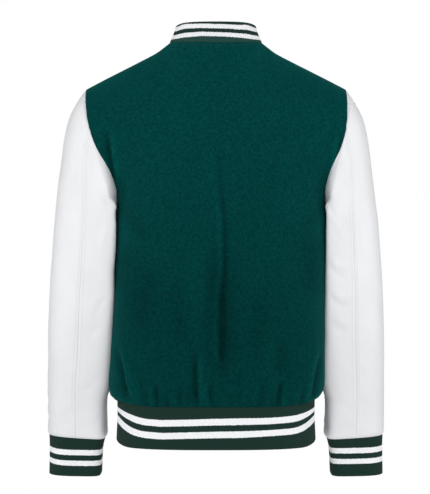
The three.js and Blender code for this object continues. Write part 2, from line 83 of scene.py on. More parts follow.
# x, top, deepest, foot, depth, width
TROUGHS = {
    "back": [
        (-3, -140, -460, -603, 5, 15), (170, -120, -185, -262, 5, 13), (-183, -110, -160, -225, 4, 12),
        (34, -510, -583, -603, 8, 12), (106, -535, -583, -603, 8, 12), (68, -560, -588, -603, 3, 12),
        (-52, -555, -586, -603, 4, 13), (-108, -530, -584, -603, 8, 12),
    ],
    "front": [
        (62, -510, -582, -603, 6, 13), (112, -535, -584, -603, 7, 12), (-58, -530, -583, -603, 7, 12),
        (-106, -505, -582, -603, 6, 13),
    ],
}
OVERLAP, UNDERLAP_DEPTH, UNDERLAP_FROM, UNDERLAP_TO = 15.0, 4.6, 22.0, 78.0
SLEEVE_BOXINESS = {"outer": 2.4, "inner": 5}
# xOut, zOut, xIn, zIn, depth, y
SLEEVE = np.array([
    (231, -92, 178, -279, 78, -1), (247, -122, 179, -293, 76, -1), (256.5, -160, 178.3, -316, 73, -2),
    (262.5, -205, 178, -346, 70, -3), (270, -265, 178.6, -386, 67, -5), (277, -340, 179.6, -435, 64, -8),
    (282.5, -420, 180.4, -485, 60, -12), (285.5, -500, 182, -540, 56, -17), (286.5, -580, 188, -600, 52, -23),
    (286.5, -640, 188, -649, 49, -28), (286.5, -657, 188, -664, 48.5, -29), (284, -662, 192, -668, 45, -29.5),
], float)
CUFF = np.array([
    (284, -662, 192, -668, 45, -29.5), (283.5, -680, 196, -686, 44, -31),
    (284.5, -730, 198.5, -731.5, 43, -34),
], float)
# drop, out, rise, from, to
HEM = np.array([(0, 0, 4, 0.42, 0.75), (36, -0.5, 14, 0.5, 0.82), (70, 1.5, 6, 0.58, 0.88)], float)
HEM_RISE_TOP, HEM_RISE_FADE = -565.0, 3
# rise, lean
COLLAR = np.array([(0, 0), (0.33, 0.4), (0.66, 0.75), (1, 1)], float)
COLLAR_TOP = {"back": (-12, 36.5), "front": (-4, 35), "side": (-10.5, -2, 33)}
SNAPS_AT = [-98, -188, -278, -368, -458, -548, -640]
SNAP_RADIUS, SNAP_HEIGHT = 7.5, 3.0
# how far the corner between the neck and shoulder seams is rounded, as a share of the top row
EASE = 0.15
# the body's side and the sleeve against it: wave, its reach and the middle in y
CLEFT_WAVE, CLEFT_REACH, CLEFT_Y = 1.5, 26.0, -6.0
# the sleeve's inner side against the body's back corner: heights, reach and share of the way in
PRESS_FROM, PRESS_TO, PRESS_REACH, PRESS_DEPTH = -258.0, -600.0, 46.0, 1.6
# how much further in the sleeve lies, in mm, by height: left, right
PRESS_CLOSER = np.array([
    (-690, 0, 0), (-660, -1.5, -1.8), (-642, -2, -2.4), (-625, -2, -2), (-604, 1, 0), (-585, 6, 5.5),
    (-568, 9, 8.5), (-542, 7.2, 6.2), (-502, 6.2, 3.6), (-462, 4.6, 2.9), (-423, 3.4, 1),
    (-383, -1, -0.8), (-344, -1.2, -3), (-304, -2.2, -5), (-290, -4, -6), (-279, -5, -6.2),
    (-266, -0.5, -2), (-250, 0, 0),
], float)
# the cloth behind the underarm: height, reach up and down, and how far it fills out
FILL_AT, FILL_REACH, FILL_OUT = -240.0, 24.0, 9.0
# the gathers' wave over the hem, in mm, and the gathers round a sleeve's cuff and head
HEM_GATHER = 3.4
CUFF_GATHERS, HEAD_GATHERS = 34, 44
# the seams' curve round the sleeve's head, and how far down it goes
SEAM_LEAN, SEAM_LEAN_REACH = 0.07, 45.0
COLLAR_CORNER, COLLAR_STRIPE_HEIGHT = 0.13, 33.5
SLEEVE_STITCH_IN, NECK_STITCH_IN = 5.6, 7.0
FRONT_STITCHES_IN = (2.2, 12.0)

# creases, in mm
# from (across, up) to (across, up), bow, width, depth, ridge beside it (+ on the left of the way down)

BACK_CREASES = [
    (1, -158, -2, -300, 2, 5, 1.3, 0.5), (-1, -240, -6, -430, -2, 4.4, 2.3, 0.7),
    (-4, -370, -8, -558, 1.5, 6, 2.9, 0.6),
    (-4, -330, -6, -585, 0, 26, 1.5, 0), (148, -540, 134, -600, 0, 10, -1.2, 0),
    (10, -300, 8, -520, 3, 16, 1.0, 0.5),
    (102, -560, 92, -606, 1, 4.5, 3.2, 0.6), (37, -505, 29, -607, 1.5, 5, 3.4, -0.9),
    (13, -558, 6, -607, 0, 4.2, 2.8, 0.6), (-105, -556, -99, -607, -1, 5, 3.4, -0.5),
    (171, -500, 143, -602, -4, 5.5, 3.0, -1.0), (-174, -505, -157, -603, 3, 5.5, 2.8, 1.0),
    (156, -560, 127, -603, -2, 5, 2.0, -0.9), (-146, -566, -136, -604, 2, 4.5, 1.8, 0.7),
    (62, -566, 58, -606, 0, 4, 1.5, 0.5), (-38, -570, -41, -606, 0, 4, 1.3, -0.5),
    (-74, -560, -71, -606, 0, 4.5, 1.5, 0.5), (-124, -576, -122, -605, 0, 3.6, 1.1, 0.5),
    (116, -572, 113, -605, 0, 3.4, 1.1, -0.5), (183, -140, 174, -246, 2, 5.5, 3.4, -0.8),
    (-203, -148, -188, -226, -3, 4.5, 3.0, 0.9), (166, -262, 120, -330, 5, 10, 1.3, 0.4),
    (-170, -255, -128, -318, -5, 10, 1.2, -0.4), (150, -330, 158, -430, 6, 14, 1.3, 0),
    (-140, -300, -150, -440, -6, 20, 1.4, 0), (110, -350, 126, -500, 6, 24, 1.3, 0),
    (-104, -480, -104, -562, 2, 11, 1.4, 0.3), (70, -380, 52, -520, 5, 14, 0.8, 0),
    (-66, -400, -56, -530, -6, 14, 0.8, 0), (-22, -574, -24, -606, 0, 3.2, 1.1, 0),
    (82, -578, 80, -606, 0, 3.0, 0.9, 0), (46, -574, 45, -606, 0, 3.0, 0.9, 0),
]
FRONT_CREASES = [
    (64, -505, 57, -607, 2, 5, 2.6, 0.9), (113, -530, 104, -606, 1, 5, 2.4, -0.8),
    (-60, -520, -55, -607, -2, 5, 2.6, -0.9), (-108, -500, -98, -606, 2, 5, 2.4, 0.8),
    (34, -566, 31, -606, 0, 4, 1.3, 0.5), (-32, -560, -30, -606, 0, 4, 1.3, -0.5),
    (84, -570, 82, -606, 0, 3.4, 1.1, 0.4), (-82, -566, -79, -606, 0, 3.6, 1.2, 0.5),
    (150, -510, 142, -604, -4, 6, 2.0, 0.8), (-152, -520, -146, -604, 4, 6, 2.0, -0.8),
    (178, -150, 160, -252, 5, 6, 2.4, 0.8), (-180, -146, -162, -250, -5, 6, 2.4, -0.8),
    (162, -265, 108, -345, 6, 10, 1.6, 0.5), (-162, -262, -112, -338, -6, 10, 1.6, -0.5),
    (120, -360, 96, -470, 8, 13, 1.1, 0), (-118, -380, -98, -500, -8, 13, 1.1, 0),
    (26, -90, 96, -150, -6, 9, 1.0, 0), (-26, -92, -92, -146, 6, 9, 1.0, 0),
    (12, -200, 30, -224, 0, 6, 0.8, 0), (12, -380, 28, -402, 0, 6, 0.8, 0),
    (-12, -290, -34, -318, 0, 7, 0.8, 0),
]
# on the sleeves: seen from behind and from the front, across is the distance out from the centre line
SLEEVE_BACK = {
    "left": [
        (193, -230, 180, -258, 2, 2.6, 0.7, 0.4), (190, -252, 177, -282, -2, 2.6, 0.7, 0.4),
        (186, -296, 200, -352, 3, 5, 1.5, -0.6), (203, -180, 214, -236, -4, 5, 1.2, 0.5),
        (182, -424, 204, -466, 4, 6, 1.5, 0.5), (190, -470, 216, -500, 3, 7, 1.2, 0.4),
        (226, -520, 262, -560, 5, 9, 1.0, 0.3), (196, -560, 236, -590, -4, 7, 1.3, 0.5),
        (214, -612, 262, -634, 4, 7, 1.5, 0.5), (192, -630, 224, -650, -2, 5, 1.3, 0.5),
        (240, -640, 284, -652, 3, 5, 1.2, 0.4), (244, -300, 258, -372, 5, 12, 0.9, 0),
        (206, -360, 212, -440, -6, 12, 0.9, 0),
    ],
    "right": [
        (196, -236, 184, -264, -2, 2.6, 0.6, -0.4), (194, -256, 181, -286, 2, 2.6, 0.6, -0.4),
        (190, -322, 204, -352, -3, 5, 1.4, 0.6), (212, -176, 222, -226, 4, 5, 1.2, -0.5),
        (188, -410, 212, -450, -4, 6, 1.3, -0.5), (194, -492, 220, -520, -3, 7, 1.3, -0.4),
        (234, -540, 268, -574, -5, 9, 1.0, -0.3), (198, -584, 240, -606, 4, 7, 1.4, -0.5),
        (206, -620, 250, -640, -4, 7, 1.4, -0.5), (240, -606, 282, -622, 2, 6, 1.1, -0.4),
        (232, -646, 270, -655, 2, 5, 1.1, 0.4), (248, -330, 262, -404, -5, 12, 0.9, 0),
        (210, -380, 214, -460, 6, 12, 0.9, 0),
    ],
}
SLEEVE_FRONT = {
    "left": [
        (186, -236, 204, -296, 4, 5, 2.0, 0.7), (192, -268, 226, -316, 5, 5.5, 2.1, -0.7),
        (186, -350, 226, -378, 6, 6, 2.2, 0.7), (188, -398, 238, -420, 6, 7, 2.4, 0.7),
        (190, -446, 232, -470, -5, 7, 2.0, 0.6), (226, -500, 266, -540, 5, 9, 1.2, 0.3),
        (198, -578, 246, -604, -4, 7, 1.6, 0.5), (210, -622, 262, -640, 4, 7, 1.5, 0.5),
        (248, -250, 262, -330, 4, 12, 1.0, 0),
    ],
    "right": [
        (190, -240, 210, -302, -4, 5, 2.0, -0.7), (188, -276, 222, -326, -5, 5.5, 2.0, 0.7),
        (188, -358, 230, -384, -6, 6, 2.2, -0.7), (190, -412, 236, -432, -6, 7, 2.3, -0.7),
        (192, -462, 226, -484, 5, 7, 1.9, -0.6), (228, -520, 270, -556, -5, 9, 1.2, -0.3),
        (200, -592, 244, -614, 4, 7, 1.6, -0.5), (214, -632, 264, -646, -4, 7, 1.4, -0.5),
        (250, -262, 264, -344, -4, 12, 1.0, 0),
    ],
}
# seen from the side, across is y
SLEEVE_OUT = {
    "left": [
        (-52, -150, -30, -214, 4, 8, 1.1, 0), (34, -170, 22, -232, -4, 8, 1.1, 0),
        (-44, -340, 12, -366, -6, 8, 1.2, 0.3), (-50, -402, 6, -424, 5, 8, 1.2, 0.3),
        (-54, -586, 4, -606, -4, 7, 1.2, 0.4), (-60, -624, 0, -640, 4, 6, 1.3, 0.4),
    ],
    "right": [
        (-50, -160, -32, -220, -4, 8, 1.1, 0), (36, -166, 24, -226, 4, 8, 1.1, 0),
        (-46, -354, 8, -376, 6, 8, 1.2, -0.3), (-52, -418, 2, -436, -5, 8, 1.2, -0.3),
        (-56, -598, 2, -616, 4, 7, 1.2, -0.4), (-58, -634, -4, -646, -4, 6, 1.2, -0.4),
    ],
}

# shape functions


def mix(a, b, t):
    return a + (b - a) * t


def smooth(t):
    t = np.clip(t, 0, 1)
    return t * t * (3 - 2 * t)


def along(table, column, at):
    """A column of a table at some place along its first column, on a smooth curve through the rows."""
    x, v = table[:, 0], table[:, column]
    if x[-1] < x[0]:
        x, v = x[::-1], v[::-1]
    at = np.asarray(at, float)
    last = len(x) - 1
    k = np.arange(len(x))
    ahead, behind = np.minimum(k + 1, last), np.maximum(k - 1, 0)
    slope = (v[ahead] - v[behind]) / (x[ahead] - x[behind])
    i = np.clip(np.searchsorted(x, at) - 1, 0, last - 1)
    span = x[i + 1] - x[i]
    t = np.clip((at - x[i]) / span, 0, 1)
    bend = (1 - t) ** 2 * t * slope[i] - t ** 2 * (1 - t) * slope[i + 1]
    return mix(v[i], v[i + 1], smooth(t)) + span * bend


def lengths(line):
    """How far along a line each of its points is."""
    return np.concatenate([[0], np.cumsum(np.linalg.norm(np.diff(line, axis=0), axis=1))])


def points_at(at, reach, line):
    return np.stack([np.interp(at, reach, line[:, k]) for k in range(3)], axis=1)


def evenly(line, shares):
    """Points of a line at some shares of its length."""
    reach = lengths(line)
    return points_at(np.clip(shares, 0, 1) * reach[-1], reach, line)


def quarter(boxiness, count=240):
    turn = np.linspace(0, math.pi / 2, count)
    return np.sin(turn) ** (2 / boxiness), np.cos(turn) ** (2 / boxiness)


def hem_rise(row, share):
    return HEM[row, 2] * smooth((share - HEM[row, 3]) / (HEM[row, 4] - HEM[row, 3]))


def body_row(face, z, shares):
    back = face == "back"
    across, deep = quarter(3)
    depth = along(BODY, FACE_COLUMN[face], z) + (-SIDE_Y if back else SIDE_Y)
    y = SIDE_Y + (1 if back else -1) * depth * deep
    line = np.stack([along(BODY, 1, z) * across, y, np.full(len(across), z)], axis=1)
    points = evenly(line, shares)
    raised = smooth((HEM_RISE_TOP - z) / (HEM_RISE_TOP - BODY_FOOT)) ** HEM_RISE_FADE
    points[:, 2] += raised * hem_rise(0, np.asarray(shares))
    return points


def top_row(face, shares):
    centre, neck_share = NECK_CENTRE[face], NECK_SHARE[face]
    across, deep = quarter(2)
    neck = np.stack([NECK_HALF * across, mix(NECK_SIDE_Y, centre[0], deep),
                     mix(NECK_SIDE_Z, centre[1], deep ** NECK_DIP)], axis=1)
    x = np.linspace(NECK_HALF, SHOULDER[-1, 0], 200)
    shoulder = np.stack([x, np.full(200, NECK_SIDE_Y), along(SHOULDER, 1, x)], axis=1)
    on_neck = evenly(neck, shares / neck_share)
    on_shoulder = evenly(shoulder, (shares - neck_share) / (1 - neck_share))
    return np.where((shares <= neck_share)[:, None], on_neck, on_shoulder)


def eased_tops(top, shares):
    """The top row, eased over the corner between the neck and shoulder seams by a growing width."""
    fine = np.linspace(0, 1, 401)
    line = points_at(fine, shares, top)
    mirrored = line[::-1] * [-1, 1, 1]
    beyond = 2 * line[-1] - line[::-1]
    long = np.concatenate([mirrored[:-1], line, beyond[1:]])

    def at(amount):
        width = EASE * amount * 400
        if width < 1:
            return top
        reach = np.arange(-int(3 * width), int(3 * width) + 1)
        weight = np.exp(-0.5 * (reach / width) ** 2)
        weight /= weight.sum()
        smoothed = np.stack([np.convolve(long[:, k], weight, "same")[400:801] for k in range(3)], axis=1)
        return points_at(shares, fine, smoothed)

    return at


def half_panel(face, shares, heights, climbs):
    """Half of a panel on the +X side: rows go up from the hem seam to the neck and shoulder seams."""
    neck_share = NECK_SHARE[face]
    rows = [body_row(face, z, shares) for z in heights]
    top = top_row(face, shares)
    fine = np.linspace(0, 1, 1200)
    base_line = body_row(face, UNDERARM, fine)
    arch = smooth(shares / neck_share / 1.5) * mix(0.3, 1, shares)
    power = mix(UPPER_BEND[face], SHOULDER_BEND, arch)

    eased = eased_tops(top, shares)

    def bent_at(climb):
        return 1 - (1 - climb ** power) ** (1 / (1 + arch))

    def bent_at_tip(climb):
        return 1 - (1 - climb ** SHOULDER_BEND) ** 0.5

    for r in climbs:
        climb = (1 - math.cos(math.pi * r / CLIMBS)) / 2
        cut_climb = (1 - math.cos(math.pi * min(r, 9) / CLIMBS)) / 2
        cut_z = mix(UNDERARM, SHOULDER[-1, 1], cut_climb)
        seam_y = float(along(ARMHOLE, FACE_COLUMN[face], cut_z))
        tip = bent_at_tip(cut_climb)
        cut_depth = (seam_y - NECK_SIDE_Y * tip) / (1 - tip)
        toward = 1 if face == "back" else -1
        left = np.interp(-toward * cut_depth, -toward * base_line[:, 1], fine)
        cut = 1 - left
        spread = 1 + 4 * (1 - climb) ** 4
        low = body_row(face, UNDERARM, shares - cut * shares ** spread)
        near_top = eased(math.sqrt(max(0, 1 - climb)))
        points = np.stack([
            mix(low[:, 0], near_top[:, 0], climb ** 1.5),
            mix(low[:, 1], near_top[:, 1], bent_at(climb)),
            mix(low[:, 2], near_top[:, 2], climb),
        ], axis=1)
        edge_z = mix(UNDERARM, SHOULDER[-1, 1], climb)
        seam = np.array([
            float(along(ARMHOLE, 1, edge_z)), float(along(ARMHOLE, FACE_COLUMN[face], edge_z)), edge_z])
        points += (seam - points[-1]) * shares[:, None] ** 3
        rows.append(points)
    return np.array(rows)


def trough(face, x, z):
    total = np.zeros_like(x)
    for x0, top, deepest, foot, depth, width in TROUGHS[face]:
        end = np.where(z < deepest, foot, top)
        total += depth * smooth((z - end) / (deepest - end)) * np.exp(-(((x - x0) / width) ** 2))
    return total


def placed(grid, face, side):
    inward = 1 if face == "front" else -1
    out = grid.copy()
    x, z = side * grid[..., 0], grid[..., 2]
    under = 0
    if face == "front" and side < 0:
        under = UNDERLAP_DEPTH * (
            1 - smooth((np.abs(x) - UNDERLAP_FROM) / (UNDERLAP_TO - UNDERLAP_FROM)))
    out[..., 0] = x + along(SWAY, 1, z)
    out[..., 1] += inward * (under + trough(face, x, z))
    return out


def arm_section(row, side, shares):
    """A section of a sleeve or cuff: the share starts at the outer line and goes by the back."""
    x_out, z_out, x_in, z_in, depth, y = row
    turn = 2 * math.pi * shares
    boxiness = np.where(np.cos(turn) > 0, SLEEVE_BOXINESS["outer"], SLEEVE_BOXINESS["inner"])
    shape = lambda v: np.sign(v) * np.abs(v) ** (2 / boxiness)
    out = (1 + shape(np.cos(turn))) / 2
    inner = side * x_in + float(along(SWAY, 1, z_in))
    return np.stack([
        mix(inner, side * x_out, out), y + depth * shape(np.sin(turn)), mix(z_in, z_out, out)], axis=1)


def through(rows, count_of, extra=()):
    """Fine rows on smooth curves through a few rows of points, at even steps and some extra places."""
    rows = np.array(rows)
    steps = np.linalg.norm(np.diff(rows, axis=0), axis=2).mean(axis=1)
    at = np.concatenate([[0], np.cumsum(steps)])
    fine = np.unique(np.concatenate([np.linspace(0, at[-1], count_of(at[-1])), extra,
                                     at[-1] - np.array(extra)]))
    k = np.arange(len(at))
    ahead, behind = np.minimum(k + 1, len(at) - 1), np.maximum(k - 1, 0)
    slope = (rows[ahead] - rows[behind]) / (at[ahead] - at[behind])[:, None, None]
    i = np.clip(np.searchsorted(at, fine) - 1, 0, len(at) - 2)
    span = (at[i + 1] - at[i])[:, None, None]
    t = ((fine - at[i]) / (at[i + 1] - at[i]))[:, None, None]
    bend = (1 - t) ** 2 * t * slope[i] - t ** 2 * (1 - t) * slope[i + 1]
    return mix(rows[i], rows[i + 1], smooth(t)) + span * bend


def noise(points, size, seed):
    """Smooth noise from -1 to 1 in space, with a lattice of the given size in mm."""
    lattice = np.random.default_rng(seed).uniform(-1, 1, (32, 32, 32))
    p = points / size
    base = np.floor(p).astype(int)
    f = smooth(p - base)
    total = 0
    for dx in (0, 1):
        for dy in (0, 1):
            for dz in (0, 1):
                w = ((f[..., 0] if dx else 1 - f[..., 0]) * (f[..., 1] if dy else 1 - f[..., 1])
                     * (f[..., 2] if dz else 1 - f[..., 2]))
                total = total + w * lattice[
                    (base[..., 0] + dx) % 32, (base[..., 1] + dy) % 32, (base[..., 2] + dz) % 32]
    return total


def creases(across, up, rows):
    total = np.zeros_like(across)
    for x0, z0, x1, z1, bow, width, depth, ridge in rows:
        dx, dz = x1 - x0, z1 - z0
        length = math.hypot(dx, dz)
        t = ((across - x0) * dx + (up - z0) * dz) / length ** 2
        off = ((across - x0) * -dz + (up - z0) * dx) / length - bow * 4 * t * (1 - t)
        ends = smooth(t / 0.35) * smooth((1 - t) / 0.3)
        q = off / width
        beside = abs(ridge) * np.exp(-((q - 1.5 * math.copysign(1, ridge)) ** 2))
        total -= depth * ends * (np.exp(-q * q) - beside)
    return total


def cleft(points, side):
    """How far the body's side and the sleeve that lies against it bow outwards together."""
    away = (points[..., 1] - CLEFT_Y) / CLEFT_REACH
    wave = np.sin(np.clip(away, -math.pi, math.pi)) * (1 + 0.2 * noise(points * [0, 0, 1], 50, 41))
    height = smooth((-268 - points[..., 2]) / 26) * smooth((points[..., 2] + 590) / 50)
    return side * CLEFT_WAVE * wave * height


def pressed(grid, side):
    """The sleeve's inner side again, laid against the body's back corner as that curves away."""
    x, y, z = grid[..., 0], grid[..., 1], grid[..., 2]
    half, depth = along(BODY, 1, z), along(BODY, 2, z) - SIDE_Y
    away = np.clip((y - SIDE_Y) / depth, 0, 0.7)
    recede = half * (1 - (1 - away ** 3) ** (1 / 3))
    from_body = side * (x - along(SWAY, 1, z)) - half
    near = 1 - smooth((from_body - 4) / PRESS_REACH)
    height = smooth((PRESS_FROM - z) / 22) * smooth((z - PRESS_TO) / 40)
    closer = np.interp(z, PRESS_CLOSER[:, 0], PRESS_CLOSER[:, 1 if side > 0 else 2]) * smooth((y + 30) / 40)
    out = grid.copy()
    out[..., 0] -= side * (PRESS_DEPTH * recede * height + closer) * near
    # the cloth fills out behind the underarm
    reach = reach_of(grid, 0)
    filled = np.exp(-((z - FILL_AT) / FILL_REACH) ** 2) * smooth((y + 5) / 30)
    filled *= (1 - smooth((from_body - 8) / 34)) * smooth((reach[-1:] - reach) / 12)
    out[..., 1] += FILL_OUT * filled
    return out


def normals_of(grid, closed=False):
    if closed:
        right = np.roll(grid, -1, axis=1) - np.roll(grid, 1, axis=1)
    else:
        right = np.gradient(grid, axis=1)
    up = np.gradient(grid, axis=0)
    n = np.cross(right, up)
    return n / np.maximum(np.linalg.norm(n, axis=2, keepdims=True), 1e-9)


def reach_of(grid, axis):
    step = np.linalg.norm(np.diff(grid, axis=axis), axis=2)
    zero = np.zeros_like(step[:1] if axis == 0 else step[:, :1])
    return np.concatenate([zero, np.cumsum(step, axis=axis)], axis=axis)


# pieces from grids


def object_of(name, points, faces, uv, material):
    mesh = bpy.data.meshes.new(name)
    mesh.from_pydata((points * MM).tolist(), [], faces.tolist() if hasattr(faces, "tolist") else faces)
    mesh.polygons.foreach_set("use_smooth", np.ones(len(mesh.polygons), dtype=bool))
    if uv is not None:
        layer = mesh.uv_layers.new(name="cloth")
        layer.data.foreach_set("uv", (uv * MM).ravel().astype(np.float32))
    mesh.materials.append(material)
    mesh.validate()
    mesh.update()
    made = bpy.data.objects.new(name, mesh)
    SCENE.collection.objects.link(made)
    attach(made, "root")
    return made


def shell(name, grid, wall, material, across=None, up=None, relief=0, closed=False,
          normals=None, gaps=(0, 0, 0, 0), edge=0.25, rim=None, painted_fold_shade=None):
    """A closed wall round a grid of middle points, with rounded rims. Gaps are bottom, top, left, right.
    Returns the object and the outer points with their normals."""
    rows, cols = grid.shape[:2]
    n = normals_of(grid, closed) if normals is None else normals
    along_row, along_col = reach_of(grid, 1), reach_of(grid, 0)
    if across is None:
        across = along_row
    if up is None:
        up = along_col
    far = np.full((rows, cols), 1e9)
    near = [along_col, along_col[-1:] - along_col,
            far if closed else along_row, far if closed else along_row[:, -1:] - along_row]
    nearest = np.minimum.reduce(near)
    middle = grid.copy()
    bottom, top, left, right = gaps
    unit = lambda v: v / np.maximum(np.linalg.norm(v, axis=-1, keepdims=True), 1e-9)
    if bottom:
        middle[0] += bottom * unit(grid[2] - grid[0])
    if top:
        middle[-1] += top * unit(grid[-3] - grid[-1])
    if left:
        middle[:, 0] += left * unit(grid[:, 2] - grid[:, 0])
    if right:
        middle[:, -1] += right * unit(grid[:, -3] - grid[:, -1])
    t = np.clip(nearest / (rim or wall / 2), 0, 1)
    thick = wall / 2 * mix(edge, 1, np.sqrt(1 - (1 - t) ** 2))
    outer = middle + n * (thick + relief * smooth(nearest / 2.0))[..., None]
    inner = middle - n * thick[..., None]
    index = np.arange(rows * cols).reshape(rows, cols)
    if closed:
        wrapped = np.concatenate([index, index[:, :1]], axis=1)
        last = along_row[:, -1] + np.linalg.norm(grid[:, 0] - grid[:, -1], axis=1)
        across = np.concatenate([across, (across[:, -1] + last - along_row[:, -1])[:, None]], axis=1)
        up = np.concatenate([up, up[:, :1]], axis=1)
    else:
        wrapped = index
    a, b = wrapped[:-1, :-1], wrapped[:-1, 1:]
    c, d = wrapped[1:, 1:], wrapped[1:, :-1]
    quads = np.stack([a, b, c, d], axis=-1).reshape(-1, 4)
    uv_all = np.stack([across, up], axis=-1)
    ua, ub, uc, ud = uv_all[:-1, :-1], uv_all[:-1, 1:], uv_all[1:, 1:], uv_all[1:, :-1]
    uv_quads = np.stack([ua, ub, uc, ud], axis=2).reshape(-1, 4, 2)
    back = rows * cols
    faces = [quads, (quads + back)[:, ::-1]]
    uvs = [uv_quads, uv_quads[:, ::-1]]

    def close_edge(line, uv_line, facing):
        f = np.stack([line[:-1], line[1:], line[1:] + back, line[:-1] + back], axis=-1)
        u = np.stack([uv_line[:-1], uv_line[1:], uv_line[1:], uv_line[:-1]], axis=1)
        faces.append(f if facing else f[:, ::-1])
        uvs.append(u if facing else u[:, ::-1])

    close_edge(wrapped[0], uv_all[0], False)
    close_edge(wrapped[-1], uv_all[-1], True)
    if not closed:
        close_edge(wrapped[:, 0], uv_all[:, 0], True)
        close_edge(wrapped[:, -1], uv_all[:, -1], False)
    points = np.concatenate([outer.reshape(-1, 3), inner.reshape(-1, 3)])
    made = object_of(name, points, np.concatenate(faces), np.concatenate(uvs).reshape(-1, 2), material)
    # painted crease shade: a point attribute that darkens the wool's colour in creases and lightens it on
    # ridges
    if painted_fold_shade is not None:
        layer = made.data.attributes.new("painted_fold_shade", "FLOAT", "POINT")
        layer.data.foreach_set("value", np.tile(painted_fold_shade.ravel(), 2).astype(np.float32))
    return made, outer, n


def line_at(outer, n, distance, side):
    """A line on a piece's outer face at some distance in from its left, right, bottom or top edge."""
    if side in ("bottom", "top"):
        outer, n = outer.transpose(1, 0, 2), n.transpose(1, 0, 2)
    if side in ("right", "top"):
        outer, n = outer[:, ::-1], n[:, ::-1]
    reach = reach_of(outer, 1)
    points, normals = [], []
    for k in range(len(outer)):
        points.append([np.interp(distance, reach[k], outer[k, :, i]) for i in range(3)])
        normals.append([np.interp(distance, reach[k], n[k, :, i]) for i in range(3)])
    return np.array(points), np.array(normals)


STITCH_SIDES = 6
STITCH_RINGS = [(-1, 0.3, -0.55), (-0.6, 0.9, 0.0), (0.0, 1.0, 0.3), (0.6, 0.9, 0.0), (1, 0.3, -0.55)]


def stitches(name, lines, material, pitch=3.3, length=2.6, radius=0.3):
    """Rows of stitches, each a short thread that dips into the cloth at both ends."""
    points, faces, count = [], [], 0
    turn = np.arange(STITCH_SIDES) * 2 * math.pi / STITCH_SIDES
    for line, normals in lines:
        reach = lengths(line)
        at = np.arange(pitch, reach[-1] - pitch, pitch)
        centre, up = points_at(at, reach, line), points_at(at, reach, normals)
        ahead = points_at(at + length / 2, reach, line) - points_at(at - length / 2, reach, line)
        ahead /= np.linalg.norm(ahead, axis=1, keepdims=True)
        up -= ahead * (up * ahead).sum(axis=1, keepdims=True)
        up /= np.linalg.norm(up, axis=1, keepdims=True)
        beside = np.cross(ahead, up)
        rings = []
        for s, r, lift in STITCH_RINGS:
            base = centre + ahead * s * length / 2 + up * (radius * lift)
            ring = (base[:, None] + beside[:, None] * (np.cos(turn) * radius * r)[None, :, None]
                    + up[:, None] * (np.sin(turn) * radius * r)[None, :, None])
            rings.append(ring)
        block = np.stack(rings, axis=1)
        per = len(STITCH_RINGS) * STITCH_SIDES
        for k in range(len(at)):
            start = count + k * per
            for i in range(len(STITCH_RINGS) - 1):
                for j in range(STITCH_SIDES):
                    a = start + i * STITCH_SIDES + j
                    b = start + i * STITCH_SIDES + (j + 1) % STITCH_SIDES
                    faces.append((b, a, a + STITCH_SIDES, b + STITCH_SIDES))
            end = start + (len(STITCH_RINGS) - 1) * STITCH_SIDES
            faces.append(tuple(start + j for j in range(STITCH_SIDES)))
            faces.append(tuple(end + j for j in reversed(range(STITCH_SIDES))))
        points.append(block.reshape(-1, 3))
        count += len(at) * per
    return object_of(name, np.concatenate(points), faces, None, material)


# materials


def material(name):
    made = bpy.data.materials.new(name)
    made.use_nodes = True
    tree = made.node_tree
    shader = tree.nodes["Principled BSDF"]

    def node(kind, **values):
        n = tree.nodes.new(kind)
        for key, value in values.items():
            if hasattr(n, key):
                setattr(n, key, value)
                continue
            socket = n.inputs[int(key[1:])] if key[0] == "i" and key[1:].isdigit() else n.inputs[key]
            if isinstance(value, bpy.types.NodeSocket):
                tree.links.new(value, socket)
            else:
                socket.default_value = value
        return n

    return made, tree, shader, node


def ranged(node, value, low, high, to_low=0.0, to_high=1.0):
    """A value spread from one range to another."""
    made = node("ShaderNodeMapRange", Value=value)
    for key, number in (("From Min", low), ("From Max", high), ("To Min", to_low), ("To Max", to_high)):
        made.inputs[key].default_value = number
    return made.outputs["Result"]


def blended(node, share, low, high):
    """A colour between two."""
    return node("ShaderNodeMix", data_type="RGBA", i0=share, i6=low, i7=high).outputs[2]


def finished(tree, shader, links, values):
    for key, output in links.items():
        tree.links.new(output, shader.inputs[key])
    for key, value in values.items():
        shader.inputs[key].default_value = value


def linear(r, g, b):
    f = lambda v: v / 255 / 12.92 if v <= 10 else ((v / 255 + 0.055) / 1.055) ** 2.4
    return (f(r), f(g), f(b), 1)


# painted shade and highlight: how much darker the wool's colour is painted for each mm that a crease sinks
# in, and lighter for each mm that a ridge stands out
CREASE_SHADE_PER_MM = 0.15


